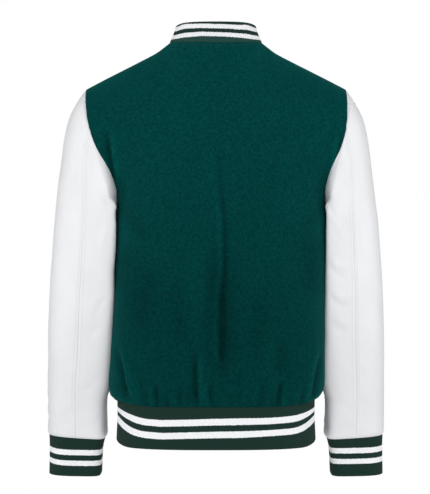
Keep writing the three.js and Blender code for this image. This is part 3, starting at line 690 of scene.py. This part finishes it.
def wool_material():
    made, tree, shader, node = material("wool_melton")
    at = node("ShaderNodeTexCoord").outputs["Object"]
    speck = node("ShaderNodeTexNoise", Vector=at, Scale=230.0, Detail=3.0, Roughness=0.55)
    spread = ranged(node, speck.outputs["Fac"], 0.32, 0.68)
    base = blended(node, spread, linear(0, 51, 50), linear(3, 66, 64))
    # painted light and shade: the colour is painted lighter over the shoulders and darker towards the hem by
    # height, with a little random patchiness
    height = node("ShaderNodeSeparateXYZ", Vector=at)
    patch = node("ShaderNodeTexNoise", Vector=at, Scale=11.0, Detail=2.0)
    painted_height_light = node("ShaderNodeMath", operation="MULTIPLY_ADD", i0=patch.outputs["Fac"], i1=0.16,
               i2=height.outputs["Z"])
    tone = ranged(node, painted_height_light.outputs[0], -0.42, 0.08, 0.74, 1.12)
    # painted crease shade: the creases' attribute darkens the colour in the troughs and lightens it on the
    # ridges
    painted_fold_shade = node("ShaderNodeAttribute", attribute_name="painted_fold_shade")
    shade = node("ShaderNodeMath", operation="MULTIPLY_ADD", i0=painted_fold_shade.outputs["Fac"], i1=CREASE_SHADE_PER_MM, i2=1.0)
    both = node("ShaderNodeMath", operation="MULTIPLY", i0=tone, i1=shade.outputs[0])
    lit = node("ShaderNodeVectorMath", operation="SCALE", i0=base, Scale=both.outputs[0])
    fine = node("ShaderNodeTexNoise", Vector=at, Scale=1300.0, Detail=3.0, Roughness=0.65)
    felt = node("ShaderNodeTexNoise", Vector=at, Scale=330.0, Detail=2.0, Distortion=0.6)
    low = node("ShaderNodeBump", Strength=0.45, Distance=0.0007, Height=felt.outputs["Fac"])
    high = node("ShaderNodeBump", Strength=0.5, Distance=0.0003, Height=fine.outputs["Fac"],
                Normal=low.outputs["Normal"])
    finished(tree, shader, {"Base Color": lit.outputs["Vector"], "Normal": high.outputs["Normal"]}, {
        "Roughness": 1.0, "Specular IOR Level": 0.02, "Sheen Weight": 0.26, "Sheen Roughness": 0.5,
        "Sheen Tint": linear(40, 150, 145)})
    return made


def leather_material():
    made, tree, shader, node = material("sleeve_leather")
    at = node("ShaderNodeTexCoord").outputs["Object"]
    tone = node("ShaderNodeTexNoise", Vector=at, Scale=22.0, Detail=3.0)
    base = blended(node, tone.outputs["Fac"], linear(229, 230, 233), linear(238, 239, 241))
    # painted shade: the colour is painted a little darker towards the cuff
    height = node("ShaderNodeSeparateXYZ", Vector=at)
    painted_cuff_shade = ranged(node, height.outputs["Z"], -0.58, -0.38, 0.925, 1.0)
    base = node("ShaderNodeVectorMath", operation="SCALE", i0=base, Scale=painted_cuff_shade)
    grain = node("ShaderNodeTexVoronoi", Vector=at, Scale=900.0, feature="F1")
    pores = node("ShaderNodeTexNoise", Vector=at, Scale=520.0, Detail=4.0, Roughness=0.6)
    soft = node("ShaderNodeTexNoise", Vector=at, Scale=60.0, Detail=3.0, Distortion=0.4)
    first = node("ShaderNodeBump", Strength=0.25, Distance=0.0012, Height=soft.outputs["Fac"])
    second = node("ShaderNodeBump", Strength=0.3, Distance=0.00025, Height=pores.outputs["Fac"],
                  Normal=first.outputs["Normal"])
    third = node("ShaderNodeBump", Strength=0.35, Distance=0.0002, Height=grain.outputs["Distance"],
                 Normal=second.outputs["Normal"])
    finished(tree, shader, {
        "Roughness": ranged(node, pores.outputs["Fac"], 0, 1, 0.44, 0.6),
        "Base Color": base.outputs["Vector"], "Normal": third.outputs["Normal"],
    }, {"Specular IOR Level": 0.35})
    return made


def knit_material(name, bands, dark, white, softness=0.35, foot=None):
    """Rib knit with white stripes. Bands are the lower and upper edges of the stripes, in mm up the cloth."""
    made, tree, shader, node = material(name)
    uv = node("ShaderNodeUVMap", uv_map="cloth").outputs["UV"]
    at = node("ShaderNodeTexCoord").outputs["Object"]
    split = node("ShaderNodeSeparateXYZ", Vector=uv)
    wobble = node("ShaderNodeTexNoise", Vector=at, Scale=420.0, Detail=1.0)
    shift = node("ShaderNodeMath", operation="MULTIPLY_ADD", i0=wobble.outputs["Fac"], i1=0.0016, i2=-0.0008)
    height = node("ShaderNodeMath", operation="ADD", i0=split.outputs["Y"], i1=shift.outputs[0])
    total = None
    for low, high in bands:
        up = ranged(node, height.outputs[0], (low - softness) * MM, (low + softness) * MM)
        down = ranged(node, height.outputs[0], (high + softness) * MM, (high - softness) * MM)
        band = node("ShaderNodeMath", operation="MULTIPLY", i0=up, i1=down)
        total = band if total is None else node(
            "ShaderNodeMath", operation="MAXIMUM", i0=total.outputs[0], i1=band.outputs[0])
    fleck = node("ShaderNodeTexNoise", Vector=at, Scale=700.0, Detail=2.0)
    dark_yarn = blended(node, fleck.outputs["Fac"], linear(*[max(v - 9, 0) for v in dark]),
                        linear(*[v + 9 for v in dark]))
    white_yarn = blended(node, fleck.outputs["Fac"], linear(*[v - 10 for v in white]), linear(*white))
    colour = blended(node, total.outputs[0], dark_yarn, white_yarn)
    if foot is not None:
        low = ranged(node, height.outputs[0], (foot[0] + softness) * MM, (foot[0] - softness) * MM)
        colour = blended(node, low, colour, linear(*foot[1]))
    # stitches: a small V in each rib, 1.5 mm high
    along_x = node("ShaderNodeMath", operation="MULTIPLY", i0=split.outputs["X"],
                   i1=2 * math.pi * 1000 / RIB_PITCH)
    side = node("ShaderNodeMath", operation="COSINE", i0=along_x.outputs[0])
    lean = node("ShaderNodeMath", operation="MULTIPLY", i0=side.outputs[0], i1=1.6)
    rise = node("ShaderNodeMath", operation="MULTIPLY_ADD", i0=height.outputs[0],
                i1=2 * math.pi * 1000 / 1.5, i2=lean.outputs[0])
    loop = node("ShaderNodeMath", operation="SINE", i0=rise.outputs[0])
    low = node("ShaderNodeBump", Strength=0.35, Distance=0.0003, Height=loop.outputs[0])
    fuzz = node("ShaderNodeBump", Strength=0.4, Distance=0.0003, Height=fleck.outputs["Fac"],
                Normal=low.outputs["Normal"])
    finished(tree, shader, {"Base Color": colour, "Normal": fuzz.outputs["Normal"]}, {
        "Roughness": 0.95, "Specular IOR Level": 0.06, "Sheen Weight": 0.04})
    return made


def snap_material():
    made, tree, shader, node = material("snap_metal")
    at = node("ShaderNodeTexCoord").outputs["Object"]
    wear = node("ShaderNodeTexNoise", Vector=at, Scale=900.0, Detail=4.0)
    finished(tree, shader, {
        "Base Color": blended(node, wear.outputs["Fac"], linear(14, 42, 40), linear(34, 66, 63)),
        "Roughness": ranged(node, wear.outputs["Fac"], 0, 1, 0.22, 0.42),
    }, {"Metallic": 0.6, "Coat Weight": 0.4})
    return made


def thread_material(name, tone):
    made, tree, shader, node = material(name)
    at = node("ShaderNodeTexCoord").outputs["Object"]
    twist = node("ShaderNodeTexNoise", Vector=at, Scale=2200.0, Detail=1.0)
    colour = blended(node, twist.outputs["Fac"], linear(*[max(v - 12, 0) for v in tone]), linear(*tone))
    finished(tree, shader, {"Base Color": colour}, {"Roughness": 0.6})
    return made


WOOL = wool_material()
LEATHER = leather_material()
DARK, WHITE = (27, 49, 43), (246, 247, 250)
HEM_KNIT = knit_material("hem_knit", [(18.4, 29), (39.5, 50.4)], DARK, WHITE)
CUFF_KNIT = knit_material("cuff_knit", [(18.3, 27), (36.4, 45.6)], DARK, WHITE)
COLLAR_KNIT = knit_material("collar_knit", [(9.1, 16), (22.3, 29.1)], DARK, WHITE,
                            foot=(8.2, (37, 70, 65)))
SNAP = snap_material()
WOOL_THREAD = thread_material("wool_thread", (12, 60, 57))
LEATHER_THREAD = thread_material("leather_thread", (226, 227, 229))

# body panels

heights = np.concatenate([
    [-603, -602.6, -602, -601], np.linspace(-600, -540, 26), np.linspace(-536, UNDERARM, 64)])
climbs = np.arange(1, 81) / 8
panel_shares = np.concatenate([np.linspace(0, 1, 81)[:-1], [1 - 0.006, 1 - 0.002, 1]])
EDGE_X = np.array([-15, -14.6, -13.8, -12, -8, -4])


def panel(face, side):
    base = half_panel(face, panel_shares, heights, climbs)
    if face == "front":
        extra = np.repeat(base[:, :1], len(EDGE_X), axis=1)
        extra[..., 0] = EDGE_X[None, :]
        base = np.concatenate([extra, base], axis=1)
    return placed(base, face, side)


def folds_of(grid, face):
    """How far the creases of a body panel sink in, below zero, or stand out."""
    x = grid[..., 0] - along(SWAY, 1, grid[..., 2])
    return creases(x, grid[..., 2], BACK_CREASES if face == "back" else FRONT_CREASES)


def gathers(grid):
    """The small puckers where the wool is gathered into the hem band, from about -1 to 1."""
    x = grid[..., 0] - along(SWAY, 1, grid[..., 2])
    return np.sin(x / HEM_GATHER + 2.2 * noise(grid, 38, 5)) * (0.5 + 0.5 * noise(grid, 26, 9))


def ring_gathers(grid, count, seeds, sizes):
    """Puckers round a sleeve, from about -1 to 1."""
    turn = 2 * math.pi * ring_shares * count + 3 * noise(grid, sizes[0], seeds[0])
    return np.sin(turn) * (0.5 + 0.5 * noise(grid, sizes[1], seeds[1]))


def painted_crease_shade(grid, face):
    """The creases again with the gathers at the hem, as painted shade in the troughs and painted highlight on
    the ridges.
    """
    above = reach_of(grid, 0)
    return np.clip(folds_of(grid, face) + 0.7 * gathers(grid) * (1 - smooth((above - 4) / 22)), -3.4, 2.0)


def dress_wool(grid, face, side_edges):
    """Creases and a little unevenness on a body panel."""
    n = normals_of(grid)
    x = grid[..., 0] - along(SWAY, 1, grid[..., 2])
    move = folds_of(grid, face)
    seam = np.minimum.reduce([*side_edges(grid), reach_of(grid, 0)])
    from_top = reach_of(grid, 0)[-1:] - reach_of(grid, 0)
    fade = smooth(np.minimum(seam, from_top) / 14)
    low = smooth((grid[..., 2] - BODY_FOOT) / 3.5)
    top_side = smooth(np.minimum.reduce([*side_edges(grid), from_top]) / 14)
    move = move * np.where(grid[..., 2] < -540, low * top_side, fade)
    # the wool is gathered into the hem band and overhangs it unevenly
    above = reach_of(grid, 0)
    move += 0.9 * gathers(grid) * smooth(above / 5) * (1 - smooth((above - 5) / 30)) * top_side
    move += (0.7 * noise(grid, 60, 3) + 0.25 * noise(grid, 18, 4)) * smooth(np.minimum(seam, from_top) / 10)
    flat_grid = grid * [1, 1, 0]
    hang = 2.6 * noise(flat_grid, 21, 31) + 1.4 * noise(flat_grid, 9, 32) + 1.2
    moved = grid + n * move[..., None]
    moved[..., 2] -= hang * smooth(above / 9) * (1 - smooth((above - 10) / 34))
    moved[..., 0] += cleft(grid, np.sign(grid[..., 0])) * smooth((np.abs(x) - 140) / 30)
    return moved


left_right = lambda g: (reach_of(g, 1), reach_of(g, 1)[:, -1:] - reach_of(g, 1))
back_grid = np.concatenate([panel("back", 1)[:, ::-1], panel("back", -1)[:, 1:]], axis=1)
front_left_grid = panel("front", 1)
front_right_grid = panel("front", -1)[:, ::-1]

back_cloth = dress_wool(back_grid, "back", left_right)
left_cloth = dress_wool(front_left_grid, "front", lambda g: (left_right(g)[1],))
right_cloth = dress_wool(front_right_grid, "front", lambda g: (left_right(g)[0],))

half_gap = SEAM_GAP / 2
sewn = (half_gap,) * 4
back, back_outer, back_n = shell("back_panel", back_cloth, WOOL_WALL, WOOL, gaps=sewn,
                                    painted_fold_shade=painted_crease_shade(back_grid, "back"))
front_left, left_outer, left_n = shell("front_panel_left", left_cloth, WOOL_WALL, WOOL,
                                       gaps=(half_gap, half_gap, 0, half_gap),
                                       painted_fold_shade=painted_crease_shade(front_left_grid, "front"))
front_right = shell("front_panel_right", right_cloth, WOOL_WALL, WOOL,
                    gaps=(half_gap, half_gap, half_gap, 0), painted_fold_shade=painted_crease_shade(front_right_grid, "front"))[0]
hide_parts("back")
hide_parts("front_left")
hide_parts("front_right")

# sleeves and cuffs

RING = 160
ring_shares = np.arange(RING) / RING


def armhole_loop(side):
    """The armhole seam at the ring's shares, from the tip of the shoulder by the back."""
    edges = {}
    for face in ("back", "front"):
        base = half_panel(face, np.array([0, 0.5, 1.0]), [UNDERARM], climbs)
        edges[face] = placed(base, face, side)[:, -1]
    return np.concatenate([edges["back"][::-1], edges["front"][1:-1]])


def leaned(ring):
    """The ring again with its points moved round near the armhole, where both sleeve seams run up."""
    from_head = (reach_of(ring, 0)[-1:] - reach_of(ring, 0)).mean(axis=1)
    shares = ring_shares[None] - SEAM_LEAN * np.exp(-from_head / SEAM_LEAN_REACH)[:, None] * np.sin(
        2 * math.pi * ring_shares)[None]
    place = shares * RING
    low = np.floor(place).astype(int)
    rows = np.arange(len(ring))[:, None]
    return mix(ring[rows, low % RING], ring[rows, (low + 1) % RING], (place - low)[..., None])


def dress_sleeve(grid, side):
    name = "left" if side > 0 else "right"
    n = normals_of(grid, True)
    x, y, z = side * grid[..., 0], grid[..., 1], grid[..., 2]
    facing_back = smooth(n[..., 1] / 0.45)
    facing_front = smooth(-n[..., 1] / 0.45)
    facing_out = smooth(side * n[..., 0] / 0.5)
    move = creases(x, z, SLEEVE_BACK[name]) * facing_back
    move += creases(x, z, SLEEVE_FRONT[name]) * facing_front
    move += creases(y, z, SLEEVE_OUT[name]) * facing_out
    inner_side = smooth(-side * n[..., 0] / 0.6)
    from_cuff = reach_of(grid, 0)
    from_head = from_cuff[-1:] - from_cuff
    fade = smooth(from_cuff / 8) * smooth(from_head / 12)
    gather = ring_gathers(grid, CUFF_GATHERS, (15, 16), (40, 22))
    move = move * fade + 0.5 * gather * smooth(from_cuff / 4) * (1 - smooth((from_cuff - 4) / 20))
    ease = ring_gathers(grid, HEAD_GATHERS, (25, 26), (30, 20))
    move += 0.35 * ease * smooth(from_head / 3) * (1 - smooth((from_head - 3) / 14))
    move += (0.8 * noise(grid, 48, 13 + side) + 0.3 * noise(grid, 16, 14)) * fade * (1 - 0.7 * inner_side)
    moved = grid + n * move[..., None]
    moved[..., 0] += cleft(grid, side) * inner_side
    return moved


made_sleeves = {}
for side, name in ((1, "left"), (-1, "right")):
    loop = armhole_loop(side)
    sections = [arm_section(row, side, ring_shares) for row in SLEEVE[::-1]] + [loop]
    ring = through(sections, lambda length: int(length / 4.4), extra=(0.4, 1.0, 2.0))
    ring = dress_sleeve(pressed(leaned(ring), side), side)
    n = normals_of(ring, True)
    turn = RING // 4
    for part, columns in (("upper", range(-turn, turn + 1)), ("under", range(turn, 3 * turn + 1))):
        index = [k % RING for k in columns]
        grid, normal = ring[:, index], n[:, index]

        def near_edges(g):
            cols = [g[:, 0], mix(g[:, 0], g[:, 1], 0.1), mix(g[:, 0], g[:, 1], 0.28)]
            ends = [mix(g[:, -1], g[:, -2], 0.28), mix(g[:, -1], g[:, -2], 0.1), g[:, -1]]
            return np.concatenate(
                [np.stack(cols, axis=1), g[:, 1:-1], np.stack(ends, axis=1)], axis=1)

        grid, normal = near_edges(grid), near_edges(normal)
        normal /= np.linalg.norm(normal, axis=2, keepdims=True)
        if side < 0:
            grid, normal = grid[:, ::-1], -normal[:, ::-1]
        reach = reach_of(grid, 1)
        edge_distance = np.minimum(reach, reach[:, -1:] - reach)
        puff = 0.32 * smooth(edge_distance / 2.5) * (1 - smooth((edge_distance - 3) / 7))
        made, outer, outer_n = shell(f"sleeve_{part}_{name}_leather", grid, LEATHER_WALL, LEATHER,
                                     gaps=(half_gap, half_gap, 0.04, 0.04), normals=normal,
                                     relief=puff, edge=0.72, rim=0.6)
        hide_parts(f"sleeve_{part}_{name}")
        made_sleeves[part, name] = (made, outer, outer_n)


def rib_relief(phase):
    return 0.55 * RIB_RISE * (np.abs(np.sin(math.pi * phase)) ** 0.75 - 0.62)


CUFF_STRIPE_SHIFT = {"left": 0.0, "right": 3.4}
CUFF_STRIPE_RISE = {"left": 3.2, "right": 0.8}
for side, name in ((1, "left"), (-1, "right")):
    count = 528
    shares = np.arange(count) / count
    sections = [arm_section(row, side, shares) for row in CUFF[::-1]]
    ring = through(sections, lambda length: 22, extra=(0.35, 0.9, 1.6))
    if side < 0:
        ring = ring[:, ::-1]
    reach = reach_of(ring, 1)
    around = reach[:, -1:] + np.linalg.norm(ring[:, :1] - ring[:, -1:], axis=2)
    ribs = round(float(around.mean()) / RIB_PITCH)
    phase = np.arange(count) / count * ribs
    across = np.repeat((phase * RIB_PITCH)[None], len(ring), axis=0)
    outward = np.clip(np.cos(2 * math.pi * (shares if side > 0 else shares[::-1])), 0, 1) ** 3
    cuff_up = reach_of(ring, 0) - (CUFF_STRIPE_SHIFT[name] + CUFF_STRIPE_RISE[name] * outward)[None]
    relief = rib_relief(phase)[None] * np.ones((len(ring), 1))
    made = shell(f"cuff_{name}_knit", ring, RIB_WALL, CUFF_KNIT, across=across, up=cuff_up,
                 relief=relief, closed=True, gaps=(0, half_gap, 0, 0))[0]
    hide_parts(f"cuff_rib_{name}")

# hem band and collar


# how far the stripes stand above their place on a level band, at distances from the centre line
# across the back: x, lower stripe, upper stripe
HEM_STRIPE_SHIFT = np.array([
    (-178, 10, 3), (-160, 9.4, 3.4), (-140, 6.6, 3.4), (-120, 5.3, 3), (-88, 4, 1.7), (-39, 1.7, 1.4),
    (0, 1.2, 0.8), (42, 0.3, -0.6), (90, -1.5, -2), (115, -0.3, -1), (140, 3.1, 2.4), (158, 6.7, 3.6),
    (178, 9, 4),
], float)
COLLAR_STRIPE_SHIFT = np.array([
    (-72, -5, -3.5), (-61, -4.4, -0.8), (-55, -3.4, -0.2), (-45, -2.4, -1.1), (-23, -0.7, -0.4),
    (0, 0.2, -0.1), (26, 0.7, 0.8), (46, -0.8, 0.9), (57, -1.7, 1.0), (63, -2.8, 0.3), (72, -4, -2),
], float)


def stripe_shift(x, y, table, span, up):
    """The shift at each point of a band, which fades out round the front."""
    lower, upper = np.interp(x, table[:, 0], table[:, 1]), np.interp(x, table[:, 0], table[:, 2])
    share = np.clip((up - span[0]) / (span[1] - span[0]), 0, 1)
    behind = smooth((y + 110) / 90)
    return mix(lower[None], upper[None], share) * behind[None]


def ribs_along(grid, pitch=RIB_PITCH):
    reach = reach_of(grid, 1)
    length = float(reach[:, -1].mean())
    count = round(length / pitch)
    phase = reach / reach[:, -1:] * count
    return phase * pitch, rib_relief(phase)


seam = np.concatenate([front_left_grid[0], back_grid[0, 1:], front_right_grid[0, 1:]])
reach = lengths(seam)
front_edge, back_half = np.zeros(len(EDGE_X)), panel_shares[::-1][1:]
to_side = np.concatenate([front_edge, panel_shares, back_half, panel_shares[1:], back_half, front_edge])
count = int(round(reach[-1] / RIB_PITCH)) * 6
near_end = np.array([0.5, 1.2])
at = np.unique(np.concatenate([np.linspace(0, reach[-1], count + 1), near_end, reach[-1] - near_end]))
fine_seam = points_at(at, reach, seam)
fine_side = np.interp(at, reach, to_side)
levels = np.concatenate([[70, 69.6, 69, 68.2, 67], np.linspace(65, 3, 20), [1.6, 0.8, 0]])
rows = []
for drop in levels:
    radial = fine_seam * [1, 1, 0] - [0, SIDE_Y, 0]
    radial /= np.linalg.norm(radial, axis=1, keepdims=True)
    level = fine_seam + radial * np.interp(drop, HEM[:, 0], HEM[:, 1])
    share = np.interp(drop, HEM[:, 0], [0, 1, 2])
    rise = sum(hem_rise(k, fine_side) * max(0, 1 - abs(share - k)) for k in range(3))
    level[:, 2] = BODY_FOOT - drop + rise
    rows.append(level)
hem_grid = np.array(rows)
hem_up = np.repeat((HEM[-1, 0] - levels)[:, None], hem_grid.shape[1], axis=1)
hem_up -= stripe_shift(hem_grid[-1, :, 0], hem_grid[-1, :, 1], HEM_STRIPE_SHIFT, (18, 50), hem_up)
across, relief = ribs_along(hem_grid)
hem, hem_outer, hem_n = shell("hem_band_knit", hem_grid, RIB_WALL, HEM_KNIT, across=across,
                              up=hem_up, relief=relief, gaps=(0, half_gap, half_gap, half_gap))
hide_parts("hem_rib")

front_neck = top_row("front", np.linspace(0, NECK_SHARE["front"], 90))
back_neck = top_row("back", np.linspace(0, NECK_SHARE["back"], 90))
ring = np.concatenate([
    placed(front_neck[None], "front", 1)[0],
    placed(back_neck[None], "back", 1)[0][::-1][1:],
    placed(back_neck[None], "back", -1)[0][1:],
    placed(front_neck[None], "front", -1)[0][::-1][1:]])
reach = lengths(ring)
count = int(round(reach[-1] / RIB_PITCH)) * 8
near_end = np.array([1.5, 2.2])
at = np.unique(np.concatenate([np.linspace(1, reach[-1] - 1, count + 1), near_end, reach[-1] - near_end]))
base = points_at(at, reach, ring)
is_front = base[:, 1] < NECK_SIDE_Y
centre = np.where(is_front[:, None], [COLLAR_TOP["front"]], [COLLAR_TOP["back"]])
side_x, side_y, side_z = COLLAR_TOP["side"]
reach_x = np.clip(np.abs(base[:, 0]) / NECK_HALF, 0, 1)
# the top edge rounds off over the shoulders
lower = 1 - COLLAR_CORNER * reach_x ** 8
offset = np.stack([np.sign(base[:, 0]) * side_x * reach_x, mix(centre[:, 0], side_y, reach_x ** 2),
                   mix(centre[:, 1], side_z, reach_x ** 2) * lower], axis=1)
rises = np.concatenate([[0.008, 0.02, 0.04], np.linspace(0.07, 0.93, 20), [0.955, 0.975, 0.99, 1]])
rows = []
for rise in rises:
    lean = float(along(COLLAR, 1, rise))
    rows.append(base + offset * [lean, lean, rise])
collar_grid = np.array(rows)
collar_height = reach_of(collar_grid, 0)
collar_up = collar_height / collar_height[-1:] * COLLAR_STRIPE_HEIGHT * lower[None]
foot_x, foot_y = collar_grid[0, :, 0], collar_grid[0, :, 1]
collar_up -= stripe_shift(foot_x, foot_y - 30, COLLAR_STRIPE_SHIFT, (9, 29), collar_up)
across, relief = ribs_along(collar_grid)
collar = shell("collar_knit_band", collar_grid, RIB_WALL, COLLAR_KNIT, across=across,
               up=collar_up, relief=relief)[0]
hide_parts("collar_rib")

# snaps

SNAP_RING = 48
# radius and height as shares
SNAP_PROFILE = [
    (0, 0.0), (0.93, 0.0), (0.98, 0.1), (1.0, 0.22), (1.0, 0.36), (0.97, 0.5), (0.91, 0.58), (0.86, 0.58),
    (0.82, 0.52), (0.79, 0.52), (0.75, 0.62), (0.66, 0.76), (0.5, 0.89), (0.3, 0.97), (0.12, 1.0), (0, 1.0),
]


def snap(name, node_name, foot, normal):
    turn = np.arange(SNAP_RING) * 2 * math.pi / SNAP_RING
    side = np.array([1.0, 0, 0])
    up = np.cross(normal, side)
    points, faces = [foot], []
    inner = SNAP_PROFILE[1:-1]
    for r, h in inner:
        points += [foot + normal * h * SNAP_HEIGHT + SNAP_RADIUS * r * (side * math.cos(a) + up * math.sin(a))
                   for a in turn]
    points.append(foot + normal * SNAP_HEIGHT)
    for j in range(SNAP_RING):
        k = (j + 1) % SNAP_RING
        faces.append((0, 1 + k, 1 + j))
        for i in range(len(inner) - 1):
            a, b = 1 + i * SNAP_RING + j, 1 + i * SNAP_RING + k
            faces.append((a, b, b + SNAP_RING, a + SNAP_RING))
        top = 1 + (len(inner) - 1) * SNAP_RING
        faces.append((top + j, top + k, len(points) - 1))
    made = object_of(name, np.array(points), faces, None, SNAP)
    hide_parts(node_name)


for k, z in enumerate(SNAPS_AT):
    node_name = f"snap_{k + 1}"
    low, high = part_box(node_name)
    middle = (np.array(low) + np.array(high)) / 2 / MM
    source, normals = (hem_outer, hem_n) if z < BODY_FOOT else (left_outer, left_n)
    distance = np.linalg.norm(source - middle, axis=2)
    spot = np.unravel_index(distance.argmin(), distance.shape)
    normal = normals[spot] * [0, 1, 1]
    normal /= np.linalg.norm(normal)
    foot = np.array([0, source[spot][1], z]) + normal * 0.2
    snap(f"snap_cap_{k + 1}", node_name, foot, normal)

# stitching

lines = []
for name in ("left", "right"):
    for part in ("upper", "under"):
        _, outer, outer_n = made_sleeves[part, name]
        for side_name in ("left", "right"):
            lines.append(line_at(outer, outer_n, SLEEVE_STITCH_IN, side_name))
sleeve_stitches = stitches("stitches_sleeve", lines, LEATHER_THREAD, radius=0.4)

line, normals = line_at(back_outer, back_n, NECK_STITCH_IN, "top")
below_collar = np.abs(line[:, 0]) < NECK_HALF
neck_stitches = stitches("stitches_neck", [(line[below_collar], normals[below_collar])], WOOL_THREAD)

lines = []
for edge_distance in FRONT_STITCHES_IN:
    lines.append(line_at(left_outer, left_n, edge_distance, "left"))
front_stitches = stitches("stitches_front", lines, WOOL_THREAD)

# floor, light and camera

FLOOR_Z, FLOOR_HALF = -1.45, 2.6
floor_mesh = bpy.data.meshes.new("floor")
corners = [(-1, -1), (1, -1), (1, 1), (-1, 1)]
floor_mesh.from_pydata([(x * FLOOR_HALF, y * FLOOR_HALF, FLOOR_Z) for x, y in corners], [], [(0, 1, 2, 3)])
floor = bpy.data.objects.new("floor", floor_mesh)
SCENE.collection.objects.link(floor)
floor_material, tree, shader, node = material("floor_pale")
shader.inputs["Base Color"].default_value = (0.93, 0.93, 0.93, 1)
shader.inputs["Roughness"].default_value = 0.9
floor_mesh.materials.append(floor_material)

AMBIENT, LIGHT_WIDTH, LIGHT_AIM = 0.34, 1.8, (0, 0, -0.35)
world = bpy.data.worlds.new("studio")
world.use_nodes = True
tree = world.node_tree
backdrop = tree.nodes["Background"]
backdrop.inputs[0].default_value = (1, 1, 1, 1)
soft = tree.nodes.new("ShaderNodeBackground")
soft.inputs[0].default_value = (1, 1, 1, 1)
soft.inputs[1].default_value = AMBIENT
path = tree.nodes.new("ShaderNodeLightPath")
blend = tree.nodes.new("ShaderNodeMixShader")
tree.links.new(path.outputs["Is Camera Ray"], blend.inputs[0])
tree.links.new(soft.outputs[0], blend.inputs[1])
tree.links.new(backdrop.outputs[0], blend.inputs[2])
tree.links.new(blend.outputs[0], tree.nodes["World Output"].inputs["Surface"])
SCENE.world = world


def area_light(name, place, power):
    data = bpy.data.lights.new(name, "AREA")
    data.size = LIGHT_WIDTH
    data.energy = power
    light = bpy.data.objects.new(name, data)
    light.location = place
    light.rotation_mode = "QUATERNION"
    light.rotation_quaternion = (Vector(LIGHT_AIM) - Vector(place)).to_track_quat("-Z", "Y")
    SCENE.collection.objects.link(light)


area_light("key", (0.15, 4.3, 0.8), 23)
area_light("wing_left", (1.8, 4.0, 0.4), 46)
area_light("wing_right", (-1.8, 4.0, 0.4), 46)
area_light("front", (-0.4, -4.3, 0.8), 80)
area_light("side_left", (4.3, 0.2, 0.8), 50)
area_light("side_right", (-4.3, 0.2, 0.8), 50)

camera_data = bpy.data.cameras.new("camera")
camera_data.lens = 128.57
camera_data.sensor_width = 36
camera = bpy.data.objects.new("camera", camera_data)
camera.location = (0.0017, 3.0, -0.34215)
camera.rotation_euler = (math.radians(90), 0, math.radians(180))
SCENE.collection.objects.link(camera)
SCENE.camera = camera
SCENE.view_settings.view_transform = "Standard"
